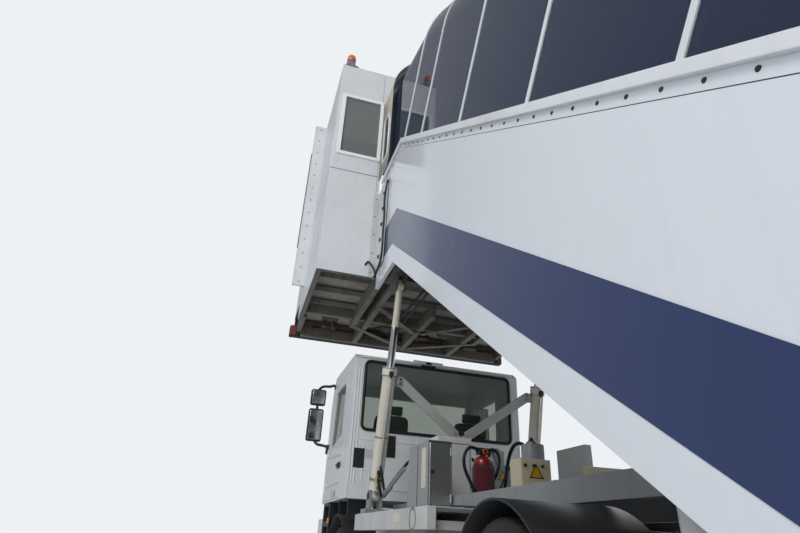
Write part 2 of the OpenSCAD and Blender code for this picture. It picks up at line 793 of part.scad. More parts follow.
module handrails() {
    color("#c2c6c8") both_sides() {
        y = panel_y - panel_t - rail_in;
        h = rail_over_nose - 160;
        a = [tail_x + 200, y, nose_z(tail_x + 200) + h];
        b = [rail_bend_x, y, nose_z(rail_bend_x) + h];
        along = (b - a) / norm(b - a);
        round_bar(a, b - 12 * along, 42);
        round_bar(b + [12, 0, 0], [stair_front_x - 120, y, b[2]], 42);
        translate(b) sphere(d = 60);
        for (x = [tail_x + 300 : 960 : rail_bend_x])
            y_tube(x, nose_z(x) + h, y + 15, panel_y - panel_t, 20);
        y_tube(2700, b[2], y + 15, panel_y - panel_t, 20);
    }
}

// Arch outline: half width y, straight side h, corner radius r, foot lowered by d
module arch(y, h, r, d = 0) {
    union() {
        translate([-y, -d]) square([2 * y, h + d]);
        translate([-y + r, h - eps]) square([2 * y - 2 * r, r + eps]);
        for (s = [-1, 1]) translate([s * (y - r), h]) circle(r = r);
    }
}

// Arch wall between the offsets t_out and t_in from the glazing's outer face
module arch_wall(h, t_out, t_in) {
    difference() {
        arch(canopy_y + t_out, h, canopy_r + t_out);
        arch(canopy_y - t_in, h, canopy_r - t_in, 10);
    }
}

module extrude_x(x0, x1) {
    translate([x0, 0, 0]) rotate([90, 0, 90]) linear_extrude(x1 - x0) children();
}

function hoop_xs() = concat([for (x = [hoop_first_x : hoop_pitch : rail_bend_x - 400]) x], [rail_bend_x - hoop_w / 2 * c_slope]);
// Hoop positions up the slope, in whole millimetres so that hoops and bays share their edges
hoop_us = [for (x = hoop_xs()) round(rail_u(x))];

portal_w = 50;
front_hoop_x = [2985, 3050];
front_side_h = front_hoop_z - rail_level_z - canopy_r;
loft_seat = 0.1;

module canopy_frame() {
    color("#e4e7e8") {
        // Outer rail along the head of each side panel
        both_sides() side_plate([
            [tail_x, rail_z(tail_x)], [tail_x, rail_z(tail_x) - top_rail_h / c_slope],
            [rail_bend_x + 18, rail_level_z - top_rail_h], [stair_front_x, rail_level_z - top_rail_h],
            [stair_front_x, rail_level_z], [rail_bend_x, rail_level_z]
        ], panel_y, top_rail_proud);
        for (u = hoop_us)
            on_slope() translate([0, 0, rail_w]) extrude_x(u - hoop_w / 2, u + hoop_w / 2)
                arch_wall(canopy_side_h, hoop_out, glazing_t + hoop_in);
        // Upright portal at the tail and upright hoop at the front
        intersection() {
            on_slope() translate([0, 0, rail_w]) extrude_x(rail_u(tail_x) - 400, rail_u(tail_x) + 1900)
                arch_wall(canopy_side_h, hoop_out, glazing_t + hoop_in);
            box3([tail_x, tail_x + portal_w], [-1200, 1200], [0, 4000]);
        }
        translate([0, 0, rail_level_z]) extrude_x(front_hoop_x[0], front_hoop_x[1])
            arch_wall(front_side_h, hoop_out, glazing_t + hoop_in);
    }
}

module canopy_glazing() {
    last = len(hoop_us) - 1;
    color("#2b3340") {
        intersection() {
            on_slope() translate([0, 0, rail_w]) extrude_x(hoop_us[0] - 2400, hoop_us[0] - hoop_w / 2)
                arch_wall(canopy_side_h, 0, glazing_t);
            box3([tail_x + portal_w, 4000], [-1200, 1200], [0, 7000]);
        }
        for (k = [1 : last])
            on_slope() translate([0, 0, rail_w])
                extrude_x(hoop_us[k - 1] + hoop_w / 2, hoop_us[k] - hoop_w / 2)
                    arch_wall(canopy_side_h, 0, glazing_t);
        // Loft from the last sloping hoop to the upright front hoop
        difference() {
            hull() {
                on_slope() translate([0, 0, rail_w]) extrude_x(hoop_us[last] + hoop_w / 2 + loft_seat, hoop_us[last] + hoop_w / 2 + 1)
                    arch(canopy_y, canopy_side_h, canopy_r, $fn = 64);
                translate([0, 0, rail_level_z]) extrude_x(front_hoop_x[0] - 1, front_hoop_x[0] - loft_seat)
                    arch(canopy_y, front_side_h, canopy_r, $fn = 64);
            }
            hull() {
                on_slope() translate([0, 0, rail_w]) extrude_x(hoop_us[last] + hoop_w / 2 - 2, hoop_us[last] + hoop_w / 2 + 1)
                    arch(canopy_y - glazing_t, canopy_side_h, canopy_r - glazing_t, 30, $fn = 64);
                translate([0, 0, rail_level_z]) extrude_x(front_hoop_x[0] - 1, front_hoop_x[0] + 2)
                    arch(canopy_y - glazing_t, front_side_h, canopy_r - glazing_t, 30, $fn = 64);
            }
        }
    }
}

// Platform

beam_t = 60;
slat_pitch = 160;

module platform_frame() {
    x0 = platform_rear_x;
    x1 = platform_front_x;
    y1 = platform_half_w;
    color("#8f918f") {
        both_sides() box3([x0, x1], [y1 - beam_t, y1], [platform_under_z, floor_z - 40]);
        for (x = [x0, x1 - beam_t])
            box3([x, x + beam_t], [-y1 + beam_t, y1 - beam_t], [platform_under_z, floor_z - 40]);
        for (x = [x0 + beam_t + 90 : slat_pitch : x1 - beam_t - 60])
            box3([x, x + 70], [-y1 + beam_t, y1 - beam_t], [floor_z - 130, floor_z - 40]);
        both_sides() for (y = [380, 1050])
            box3([x0 + beam_t, x1 - beam_t], [y, y + 70], [platform_under_z, floor_z - 130]);
        // Flat diagonal braces under the longitudinal beams
        for (s = [-1, 1])
            flat_bar([x0 + 300, s * 380, platform_under_z - 6], [x1 - 500, -s * 380, platform_under_z - 6], 12, 90);
        // Hinge lugs towards the stairs
        for (y = hinge_ys) for (s = [-1, 1])
            difference() {
                lug(hinge_x, hinge_z, 70, [[x0, 3745], [x0, 3640]], y + s * 58 - 14, 28);
                y_tube(hinge_x, hinge_z, y - 90, y + 90, hinge_d + 2 * run_gap);
            }
    }
    color("#c9cccd") for (y = hinge_ys) y_tube(hinge_x, hinge_z, y - 74, y + 74, hinge_d);
}

module platform_floor() {
    color("#7f8283") union() {
        box3([platform_rear_x, platform_front_x], [-platform_half_w, platform_half_w], [floor_z - 40, floor_z]);
        box3([hinge_x + 8, platform_rear_x], [-1010, 1010], [floor_z - 25, floor_z]);
    }
}

window_y = [1160, 1650];
window_z = [5245, 6190];
wall_joint_z = 4955;

module cabin_walls() {
    x0 = platform_rear_x;
    roof_under = cabin_roof_z - cabin_wall;
    color("#eef0f0") difference() {
        box3([x0, x0 + cabin_wall], [-platform_half_w, platform_half_w], [floor_z, roof_under]);
        translate([0, 0, collar_foot_z]) extrude_x(x0 - eps, x0 + cabin_wall + eps)
            arch(doorway_half_w, collar_h, doorway_half_w - canopy_y + canopy_r, collar_foot_z - floor_z + eps);
        both_sides() {
            box3([x0 - 50, x0 + 60], window_y, window_z);
            box3([x0 - 1, x0 + 4], [doorway_half_w - 1, platform_half_w + 1], [wall_joint_z - 4, wall_joint_z + 4]);
        }
    }
    color("#eef0f0") both_sides() {
        box3([x0 + cabin_wall, cabin_front_x], [platform_half_w - cabin_wall, platform_half_w], [floor_z, roof_under]);
        // Low side screens along the front of the floor
        box3([cabin_front_x + 50, platform_front_x - 40], [platform_half_w - cabin_wall, platform_half_w],
            [floor_z, floor_z + 1100]);
    }
}

module cabin_windows() {
    color("#3a4148") both_sides()
        box3([platform_rear_x + 8, platform_rear_x + 16], window_y, window_z);
    color("#f4f4f2") both_sides() difference() {
        box3([platform_rear_x - 10, platform_rear_x], [window_y[0] - 40, window_y[1] + 40], [window_z[0] - 40, window_z[1] + 40]);
        box3([platform_rear_x - 11, platform_rear_x + 1], window_y, window_z);
    }
}

collar_gap = 30;
collar_t = 16;
collar_x = [2760, platform_rear_x];
collar_foot_z = 4900;
collar_h = front_hoop_z - collar_foot_z - canopy_r;

module cabin_roof() {
    color("#e8eaea") box3([platform_rear_x, cabin_front_x], [-platform_half_w, platform_half_w],
        [cabin_roof_z - cabin_wall, cabin_roof_z]);
    // Collar that laps over the front hoop of the canopy
    h = collar_h;
    color("#c7c9c6") translate([0, 0, collar_foot_z]) extrude_x(collar_x[0], collar_x[1]) difference() {
        arch(canopy_y + hoop_out + collar_gap + collar_t, h, canopy_r + hoop_out + collar_gap + collar_t);
        arch(canopy_y + hoop_out + collar_gap, h, canopy_r + hoop_out + collar_gap, 10);
    }
}

hood_y = [1750, 1920];
hood_z = [3950, 6900];
hood_front_x = 5420;

module front_hood() {
    color("#e2e0d8") {
        // Screwed mounting frame
        difference() {
            box3([cabin_front_x, cabin_front_x + 40], [-hood_y[1], hood_y[1]], hood_z);
            box3([cabin_front_x - 1, cabin_front_x + 41], [-hood_y[0] + 38, hood_y[0] - 38],
                [hood_z[0] - 1, cabin_roof_z - cabin_wall]);
        }
        // Folded side curtains and roof curtain between hoops
        for (k = [0 : 5]) {
            x = cabin_front_x + 40 + k * 105;
            difference() {
                box3([x, x + 60], [-1890, 1890], [floor_z + 1120, 6860]);
                box3([x - 1, x + 61], [-1790, 1790], [floor_z + 1119, 6760]);
            }
            difference() {
                box3([x + 60, x + 105], [-1870, 1870], [floor_z + 1120, 6840]);
                box3([x + 59, x + 106], [-1810, 1810], [floor_z + 1119, 6780]);
            }
        }
    }
    color("#1b1c1d") difference() {
        box3([cabin_front_x + 670, cabin_front_x + 760], [-1900, 1900], [floor_z + 1120, 6870]);
        box3([cabin_front_x + 669, cabin_front_x + 761], [-1780, 1780], [floor_z + 1119, 6750]);
    }
}

module front_buffer() {
    color("#17181a") {
        box3([platform_front_x, platform_front_x + buffer_d], [-buffer_half_w, buffer_half_w],
            [platform_under_z, platform_under_z + 170]);
        both_sides() box3([platform_front_x, platform_front_x + 60], [1500, 1740], [platform_under_z + 170, floor_z]);
    }
}

module beacons() {
    color("#e07a16") both_sides() translate([platform_rear_x + 90, platform_half_w - 90, cabin_roof_z]) {
        cylinder(h = 40, d = 130);
        translate([0, 0, 40]) cylinder(h = 130, d = 120);
        translate([0, 0, 170]) cylinder(h = 20, d1 = 120, d2 = 70);
    }
}

// Lift

lean = atan((leg_pin_x - eye_x) / (eye_z - leg_pin_z));
leg_len = norm([leg_pin_x - eye_x, eye_z - leg_pin_z]);

// Frame with z up along the lift cylinders, from their lower pin
module on_leg() {
    translate([leg_pin_x, 0, leg_pin_z]) rotate([0, -lean, 0]) children();
}

module lift_barrels() {
    color("#ece8da") on_leg() both_sides() difference() {
        union() {
            translate([0, leg_y, 60]) cylinder(h = barrel_len - 60, d = barrel_d);
            translate([0, leg_y, barrel_len - 90]) cylinder(h = 90, d = barrel_d + 22);
            translate([0, leg_y + 40, 0]) rotate([90, 0, 0]) cylinder(h = 80, d = 100);
            box3([-45, 45], [leg_y - 40, leg_y + 40], [20, 80]);
        }
        translate([0, leg_y, 120]) cylinder(h = barrel_len, d = chrome_d + 1);
        translate([0, leg_y + 60, 0]) rotate([90, 0, 0]) cylinder(h = 120, d = leg_pin_d + 2 * run_gap);
    }
    color("#c9cccd") both_sides() y_tube(leg_pin_x, leg_pin_z, leg_y - 68, leg_y + 68, leg_pin_d);
}

apex_s = 660;
arm_s = barrel_len - 130;
brace_t = 20;
brace_w = 100;

module sway_brace() {
    color("#b9bab6") on_leg() {
        both_sides() {
            flat_bar([0, 60, apex_s], [0, leg_y - barrel_d / 2 - 70, arm_s], brace_t, brace_w);
            box3([-brace_t / 2, brace_t / 2], [leg_y - barrel_d / 2 - 110, leg_y - barrel_d / 2 - seat_gap],
                [arm_s - 60, arm_s + 35]);
        }
        translate([-14, -90, apex_s - 110]) cube([28, 180, 200]);
        difference() {
            union() {
                box3([-30, 30], [-30, 30], [60, apex_s - 100]);
                translate([0, 40, 0]) rotate([90, 0, 0]) cylinder(h = 80, d = 110);
                box3([-40, 40], [-40, 40], [20, 70]);
            }
            translate([0, 60, 0]) rotate([90, 0, 0]) cylinder(h = 120, d = leg_pin_d + 2 * run_gap);
        }
    }
    color("#c9cccd") y_tube(leg_pin_x, leg_pin_z, -68, 68, leg_pin_d);
}

rod_foot = 510;

module lift_rods() {
    color("#d9dcde") on_leg() both_sides() {
        translate([0, leg_y, rod_foot]) cylinder(h = 1700 - rod_foot, d = chrome_d);
    }
    color("#ece8da") on_leg() both_sides() difference() {
        union() {
            translate([0, leg_y, 1700]) cylinder(h = leg_len - 1700 - 40, d = 74);
            translate([0, leg_y + 32, leg_len]) rotate([90, 0, 0]) cylinder(h = 64, d = 96);
        }
        translate([0, leg_y + 60, leg_len]) rotate([90, 0, 0]) cylinder(h = 120, d = eye_pin_d + 14);
    }
}

// Wheels

tyre_profile_r = 55;

module tyre(y) {
    translate([0, y, 0]) rotate([90, 0, 0]) rotate_extrude($fn = 96) difference() {
        union() {
            translate([rim_d / 2 + seat_gap, -tyre_w / 2 + 18]) square([tyre_d / 2 - rim_d / 2 - 40, tyre_w - 36]);
            translate([rim_d / 2 + 40, -tyre_w / 2]) square([tyre_d / 2 - rim_d / 2 - 40 - tyre_profile_r, tyre_w]);
            translate([tyre_d / 2 - tyre_profile_r - 1, -tyre_w / 2 + tyre_profile_r]) square([tyre_profile_r + 1, tyre_w - 2 * tyre_profile_r]);
            for (s = [-1, 1]) translate([tyre_d / 2 - tyre_profile_r, s * (tyre_w / 2 - tyre_profile_r)]) circle(r = tyre_profile_r);
        }
        for (groove = [-45, 0, 45]) translate([tyre_d / 2 - 14, groove - 5]) square([20, 10]);
    }
}

// Rim with its disc at the outer side; dish is the disc's place from the middle of the rim
module rim(y, dish, bore) {
    translate([0, y, 0]) rotate([90, 0, 0]) difference() {
        union() {
            difference() {
                cylinder(h = tyre_w - 50, d = rim_d, center = true);
                cylinder(h = tyre_w, d = rim_d - 36, center = true);
            }
            translate([0, 0, -dish - 7]) cylinder(h = 14, d = rim_d - 30);
            translate([0, 0, -dish - 45]) cylinder(h = 70, d = 230);
        }
        cylinder(h = 900, d = bore, center = true);
        for (a = [0 : 45 : 315]) rotate([0, 0, a + 22.5]) translate([170, 0, -dish]) cylinder(h = 60, d = 56, center = true);
    }
}

stub_d = 80;

module knuckle() {
    translate([wheelbase, kingpin_y, axle_z - 88]) cylinder(h = 176, d = kingpin_d);
    difference() {
        union() {
            for (z = [axle_z - 88, axle_z + 56])
                translate([wheelbase, kingpin_y, z]) cylinder(h = 32, d = 90);
            box3([wheelbase - 40, wheelbase + 40], [kingpin_y + 56, kingpin_y + 80], [axle_z - 88, axle_z + 88]);
            for (z = [axle_z - 88, axle_z + 56])
                box3([wheelbase - 40, wheelbase + 40], [kingpin_y, kingpin_y + 60], [z, z + 32]);
        }
    }
    y_tube(wheelbase, axle_z, kingpin_y + 80, front_tyre_y + 88, stub_d);
}

module knuckle_left() { color("#55585a") knuckle(); }
module knuckle_right() { color("#55585a") mirror([0, 1, 0]) knuckle(); }

module front_rim() { translate([wheelbase, 0, axle_z]) rim(front_tyre_y, 40, stub_d + 2 * run_gap); }
module front_tyre() { translate([wheelbase, 0, axle_z]) tyre(front_tyre_y); }

module tyre_front_left() { color("#1c1c1d") front_tyre(); }
module tyre_front_right() { color("#1c1c1d") mirror([0, 1, 0]) front_tyre(); }
module rim_front_left() { color("#e3e4e4") front_rim(); }
module rim_front_right() { color("#e3e4e4") mirror([0, 1, 0]) front_rim(); }

module rear_rims() {
    translate([0, 0, axle_z]) {
        rim(twin_outer_y, -60, hub_d + 2 * run_gap);
        rim(twin_inner_y, 60, hub_d + 2 * run_gap);
    }
}

module rear_tyres() {
    translate([0, 0, axle_z]) {
        tyre(twin_outer_y);
        tyre(twin_inner_y);
    }
}

module tyres_rear_left() { color("#1c1c1d") rear_tyres(); }
module tyres_rear_right() { color("#1c1c1d") mirror([0, 1, 0]) rear_tyres(); }
module rims_rear_left() { color("#e3e4e4") rear_rims(); }
module rims_rear_right() { color("#e3e4e4") mirror([0, 1, 0]) rear_rims(); }

module placed() {
    translate([-mid_x, 0, 0]) children();
}

placed() chassis_frame();
placed() subframe();
placed() engine_block();
placed() front_axle();
placed() rear_axle();
placed() leaf_springs();
placed() tanks();
placed() cab_shell();
placed() cab_glass();
placed() cab_seats();
placed() dashboard();
placed() grille_panel();
placed() front_bumper();
placed() headlamps();
placed() cab_mirrors();
placed() door_left();
placed() door_right();
placed() door_glass_left();
placed() door_glass_right();
placed() mudguards();
placed() cab_steps();
placed() side_deck();
placed() control_cabinet();
placed() service_cabinet();
placed() electric_box();
placed() fire_extinguisher();
placed() hydraulic_unit();
placed() jack_housings();
placed() front_jacks();
placed() rear_jacks();
placed() stair_frame();
placed() steps();
placed() side_panels();
placed() side_stripes();
placed() handrails();
placed() canopy_frame();
placed() canopy_glazing();
placed() platform_frame();
placed() platform_floor();
placed() cabin_walls();
placed() cabin_windows();
placed() cabin_roof();
placed() front_hood();
placed() front_buffer();
placed() beacons();
placed() lift_barrels();
placed() sway_brace();
placed() lift_rods();
placed() knuckle_left();
placed() knuckle_right();
placed() tyre_front_left();
placed() rim_front_left();
placed() tyre_front_right();
placed() rim_front_right();
placed() tyres_rear_left();
placed() rims_rear_left();
placed() tyres_rear_right();
placed() rims_rear_right();
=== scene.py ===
import math

import bmesh
import bpy
from mathutils import Matrix, Vector


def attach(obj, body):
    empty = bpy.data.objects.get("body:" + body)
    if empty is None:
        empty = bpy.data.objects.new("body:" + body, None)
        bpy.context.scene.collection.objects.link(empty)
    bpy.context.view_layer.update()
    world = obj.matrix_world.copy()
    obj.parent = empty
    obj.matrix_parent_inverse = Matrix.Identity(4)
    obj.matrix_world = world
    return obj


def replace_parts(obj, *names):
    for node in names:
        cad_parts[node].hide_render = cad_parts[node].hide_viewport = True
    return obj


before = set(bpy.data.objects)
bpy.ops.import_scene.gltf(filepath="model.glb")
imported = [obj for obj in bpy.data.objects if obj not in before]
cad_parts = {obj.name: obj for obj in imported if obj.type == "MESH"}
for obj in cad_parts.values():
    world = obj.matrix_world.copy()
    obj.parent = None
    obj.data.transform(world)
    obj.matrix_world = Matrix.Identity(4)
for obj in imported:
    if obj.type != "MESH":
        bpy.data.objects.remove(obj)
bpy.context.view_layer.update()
scene = bpy.context.scene

# Camera and studio.
# The photograph is taken standing behind the left side of the truck and looking up the stairs,
# with a 24 mm lens on a full frame. The studio is a pale floor and soft light from all round.
eye = Vector((-3.885, 2.28, 0.75))
right = Vector((-0.2872, -0.9567, 0.0467))
up = Vector((-0.4268, 0.1715, 0.8881))
look = Vector((0.8576, -0.2351, 0.4576))
lens = bpy.data.cameras.new("photo_camera")
lens.sensor_width = 36
lens.lens = 24
lens.clip_start = 0.05
lens.clip_end = 200
camera = bpy.data.objects.new("photo_camera", lens)
scene.collection.objects.link(camera)
camera.matrix_world = Matrix((
    (right.x, up.x, -look.x, eye.x), (right.y, up.y, -look.y, eye.y), (right.z, up.z, -look.z, eye.z), (0, 0, 0, 1)))
scene.camera = camera
scene.view_settings.view_transform = "Standard"


def add_node(owner, kind, settings=None, **inputs):
    """Adds a shader node to a material or to the world.

    inputs names its sockets, with _ for a space or i0, i1 for a place, and gives a value or a link.
    """
    node = owner.node_tree.nodes.new("ShaderNode" + kind)
    for name, value in (settings or {}).items():
        setattr(node, name, value)
    for name, value in inputs.items():
        place = name[1:].isdigit() and name[0] == "i"
        socket = node.inputs[int(name[1:]) if place else name.replace("_", " ")]
        if isinstance(value, bpy.types.NodeSocket):
            owner.node_tree.links.new(value, socket)
        else:
            socket.default_value = value
    return node


def linear(colour):
    """Linear colour of an sRGB hex value."""
    parts = [int(colour[i:i + 2], 16) / 255 for i in (1, 3, 5)]
    return [p / 12.92 if p <= 0.04045 else ((p + 0.055) / 1.055) ** 2.4 for p in parts] + [1]


def new_material(name):
    """Empty node material."""
    material = bpy.data.materials.new(name)
    material.use_nodes = True
    material.node_tree.nodes.clear()
    return material


def lay(material, shader):
    """Ends a material in its shader."""
    add_node(material, "OutputMaterial", Surface=shader.outputs[0])
    return material


def floor_finish():
    """Matt pale paper. The camera sees it partly as bright as the wall of air behind it, and its shadow stays."""
    material = new_material("pale_studio_floor")
    plain = add_node(material, "BsdfPrincipled", Base_Color=linear("#ecedee"), Roughness=0.8)
    pale = add_node(material, "Emission", Color=linear("#e4e6e8"), Strength=1.0)
    path = add_node(material, "LightPath")
    haze = add_node(material, "Math", {"operation": "MULTIPLY"}, i0=path.outputs["Is Camera Ray"], i1=0.55)
    share = add_node(material, "Math", {"operation": "MAXIMUM"},
                     i0=haze.outputs[0], i1=path.outputs["Is Transmission Ray"])
    return lay(material, add_node(material, "MixShader", Fac=share.outputs[0], i1=plain.outputs[0], i2=pale.outputs[0]))


ground = bmesh.new()
bmesh.ops.create_grid(ground, x_segments=1, y_segments=1, size=40)
mesh = bpy.data.meshes.new("studio_floor")
ground.to_mesh(mesh)
ground.free()
mesh.materials.append(floor_finish())
floor = bpy.data.objects.new("studio_floor", mesh)
scene.collection.objects.link(floor)

world = bpy.data.worlds.new("studio_air")
scene.world = world
world.use_nodes = True
world.node_tree.nodes.clear()
soft = add_node(world, "Background", Color=linear("#e8eef6"), Strength=0.42)
behind = add_node(world, "Background", Color=linear("#eef1f4"), Strength=1.0)
ray = add_node(world, "LightPath")
seen = add_node(world, "MixShader", Fac=ray.outputs["Is Camera Ray"], i1=soft.outputs[0], i2=behind.outputs[0])
add_node(world, "OutputWorld", Surface=seen.outputs[0])

for name, place, aim, size, power in (
        ("key_softbox", (-7, 9, 11), (0, 0, 2.5), 7, 950),
        ("fill_softbox", (9, -8, 9), (1, 0, 2.5), 8, 330),
        ("low_softbox", (-6, 6, 0.6), (2, 0, 3), 4, 60)):
    lamp = bpy.data.lights.new(name, "AREA")
    lamp.size = size
    lamp.energy = power
    holder = bpy.data.objects.new(name, lamp)
    scene.collection.objects.link(holder)
    holder.location = place
    holder.rotation_euler = (Vector(aim) - Vector(place)).to_track_quat("-Z", "Y").to_euler()

# Chassis frame and subframe.
# Pressed steel channels, painted with semi-gloss chassis paint. The subframe is welded box section,
# bolted to the rails through its bolsters. Red lamps stand at the tail.


def enamel(name, colour, worn, roughness=0.3, coat=0.3, peel=0.12, runs=0.35, cloud_size=0.7):
    """Sprayed enamel on steel.

    It has a faint orange peel, 170 bumps to the metre, clouds of dust and thin streaks run down by rain.
    """
    material = new_material(name)
    place = add_node(material, "TexCoord").outputs["Object"]
    cloud = add_node(material, "TexNoise", Vector=place, Scale=1 / cloud_size, Detail=6.0, Roughness=0.62)
    drawn = add_node(material, "Mapping", Vector=place, Scale=(14, 14, 0.9))
    streak = add_node(material, "TexNoise", Vector=drawn.outputs[0], Scale=1.0, Detail=4.0, Roughness=0.55)
    run = add_node(material, "MapRange", Value=streak.outputs["Fac"], i1=0.52, i2=0.78, i3=0.0, i4=runs)
    dust = add_node(material, "MapRange", Value=cloud.outputs["Fac"], i1=0.45, i2=0.8, i3=0.0, i4=0.55)
    dirt = add_node(material, "Math", {"operation": "MAXIMUM"}, i0=run.outputs[0], i1=dust.outputs[0])
    tone = add_node(material, "Mix", {"data_type": "RGBA"}, i0=dirt.outputs[0], i6=linear(colour), i7=linear(worn))
    dull = add_node(material, "MapRange", Value=cloud.outputs["Fac"],
                    i1=0.3, i2=0.75, i3=roughness, i4=min(1.0, roughness + 0.22))
    skin = add_node(material, "TexNoise", Vector=place, Scale=170.0, Detail=2.0)
    relief = add_node(material, "Bump", Strength=peel, Distance=0.002, Height=skin.outputs["Fac"])
    body = add_node(material, "BsdfPrincipled", Base_Color=tone.outputs[2], Roughness=dull.outputs[0], IOR=1.5,
                    Coat_Weight=coat, Coat_Roughness=0.12, Normal=relief.outputs[0])
    return lay(material, body)


def round_edges(part, width, segments):
    """Rounds sharp edges as a pressed, sawn or moulded part has them."""
    edge = part.modifiers.new("edge", "BEVEL")
    edge.width = width
    edge.segments = segments
    edge.limit_method = "ANGLE"
    edge.angle_limit = math.radians(38)


def dress(node, material, edge=0.0, segments=2):
    """Gives a CAD node its finish and its edges, in metres."""
    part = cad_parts[node]
    if not part.material_slots:
        part.data.materials.append(material)
    for held in part.material_slots:
        held.material = material
    if edge:
        weld = part.modifiers.new("weld", "WELD")
        weld.merge_threshold = 0.00002
        round_edges(part, edge, segments)


chassis_paint = enamel("chassis_paint_black", "#33363a", "#5a5550", roughness=0.42, coat=0.1)
subframe_paint = enamel("subframe_paint_grey", "#8b8e90", "#6f6a60", roughness=0.36, coat=0.15, runs=0.5)
dress("chassis_frame", chassis_paint, 0.003)
dress("subframe", subframe_paint, 0.004)
for node in ("front_axle", "rear_axle"):
    dress(node, chassis_paint, 0.004)
dress("leaf_springs", chassis_paint, 0.002)
engine_paint = enamel("engine_casting_paint", "#53585b", "#3b3530", roughness=0.55, coat=0.0, peel=0.6)
dress("engine_block", engine_paint, 0.02)
dress("tanks", enamel("tank_sheet_aluminium", "#a9abad", "#77736c", roughness=0.38, coat=0.0), 0.01)


def at(x, y, z):
    """Point in metres of a place in millimetres: x from the rear axle, y from the middle, z from the ground."""
    return Vector(((x - 1485) / 1000, y / 1000, z / 1000))


def block(form, x, y, z):
    """Adds a block between two values of each axis, given in any order."""
    x, y, z = sorted(x), sorted(y), sorted(z)
    for corner in bmesh.ops.create_cube(form, size=2)["verts"]:
        corner.co = at(x[int(corner.co.x > 0)], y[int(corner.co.y > 0)], z[int(corner.co.z > 0)])


def bar(form, a, b, radius, far=None, sides=16):
    """Adds a round bar, a bolt head or a cone from a to b."""
    start, end = at(*a), at(*b)
    along = end - start
    turn = along.to_track_quat("Z", "Y").to_matrix().to_4x4()
    bmesh.ops.create_cone(form, cap_ends=True, segments=sides, radius1=radius / 1000,
                          radius2=(radius if far is None else far) / 1000, depth=along.length,
                          matrix=Matrix.Translation((start + end) / 2) @ turn)


def fit(name, body, material, form, edge=0.0, segments=2):
    """Makes a piece of a finished form, rounds its edges and lets it ride on its body."""
    mesh = bpy.data.meshes.new(name)
    form.to_mesh(mesh)
    form.free()
    mesh.materials.append(material)
    for face in mesh.polygons:
        face.use_smooth = True
    mesh.set_sharp_from_angle(angle=math.radians(32))
    made = bpy.data.objects.new(name, mesh)
    scene.collection.objects.link(made)
    if edge:
        round_edges(made, edge, segments)
    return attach(made, body)


tail = bmesh.new()
for side in (-1, 1):
    block(tail, (-1012, -1000), (side * 400, side * 160), (700, 860))
    for reach in (190, 260, 330):
        bar(tail, (-1012, side * reach, 780), (-1030, side * reach, 780), 30, 26, 24)
lens_red = enamel("lamp_lens_red", "#7d1414", "#4c0d0d", roughness=0.18, coat=0.6)
fit("tail_lamps", "chassis", lens_red, tail, 0.004)
bolts = bmesh.new()
for side in (-1, 1):
    for x in range(-860, 3400, 190):
        for z in (716, 836):
            bar(bolts, (x, side * 400, z), (x, side * 409, z), 11, sides=6)
fit("frame_bolts", "chassis", subframe_paint, bolts, 0.001)

# Cab.
# Pressed steel panels, spot welded and sprayed gloss white. Tinted glass sits in black rubber seals, and the dashboard,
# the grille, the mudguards and the steps are moulded in grained black plastic.


def moulded(name, colour, roughness=0.5, grain=900.0, depth=0.25):
    """Injection-moulded plastic or rubber. A fine grain of about 1 mm breaks its gloss."""
    material = new_material(name)
    place = add_node(material, "TexCoord").outputs["Object"]
    cloud = add_node(material, "TexNoise", Vector=place, Scale=3.0, Detail=5.0)
    pores = add_node(material, "TexNoise", Vector=place, Scale=grain, Detail=2.0)
    pale = [min(1.0, c * 1.9 + 0.01) for c in linear(colour)[:3]] + [1]
    worn = add_node(material, "MapRange", Value=cloud.outputs["Fac"], i1=0.4, i2=0.75, i3=0.0, i4=0.6)
    tone = add_node(material, "Mix", {"data_type": "RGBA"}, i0=worn.outputs[0], i6=linear(colour), i7=pale)
    relief = add_node(material, "Bump", Strength=depth, Distance=0.001, Height=pores.outputs["Fac"])
    return lay(material, add_node(material, "BsdfPrincipled", Base_Color=tone.outputs[2], Roughness=roughness, IOR=1.5,
                                  Normal=relief.outputs[0]))


def pane(name, colour, clear=0.45, tint="#b9c4c8"):
    """Float or acrylic sheet, seen partly through. Its gloss carries the surroundings."""
    material = new_material(name)
    place = add_node(material, "TexCoord").outputs["Object"]
    film = add_node(material, "TexNoise", Vector=place, Scale=2.2, Detail=5.0)
    haze = add_node(material, "MapRange", Value=film.outputs["Fac"], i1=0.35, i2=0.8, i3=0.02, i4=0.1)
    sheet = add_node(material, "BsdfPrincipled", Base_Color=linear(colour), Roughness=haze.outputs[0], IOR=1.5,
                     Coat_Weight=0.3)
    through = add_node(material, "BsdfTransparent", Color=linear(tint))
    return lay(material, add_node(material, "MixShader", Fac=clear, i1=sheet.outputs[0], i2=through.outputs[0]))


def cloth(name, colour, thread=0.002):
    """Woven coated cloth. Its threads are finer than half a millimetre, and are drawn coarse, so that they show."""
    material = new_material(name)
    place = add_node(material, "TexCoord").outputs["Object"]
    pitch = 1 / thread / 6.283
    across = add_node(material, "TexWave", {"bands_direction": "X"}, Vector=place, Scale=pitch, Distortion=0.4)
    along = add_node(material, "TexWave", {"bands_direction": "Z"}, Vector=place, Scale=pitch, Distortion=0.4)
    weave = add_node(material, "Math", {"operation": "MULTIPLY"}, i0=across.outputs["Fac"], i1=along.outputs["Fac"])
    cloud = add_node(material, "TexNoise", Vector=place, Scale=3.0, Detail=5.0)
    deep = [c * 0.72 for c in linear(colour)[:3]] + [1]
    tone = add_node(material, "Mix", {"data_type": "RGBA"}, i0=cloud.outputs["Fac"], i6=linear(colour), i7=deep)
    relief = add_node(material, "Bump", Strength=0.35, Distance=0.001, Height=weave.outputs[0])
    return lay(material, add_node(material, "BsdfPrincipled", Base_Color=tone.outputs[2], Roughness=0.85,
                                  Sheen_Weight=0.2, Normal=relief.outputs[0]))


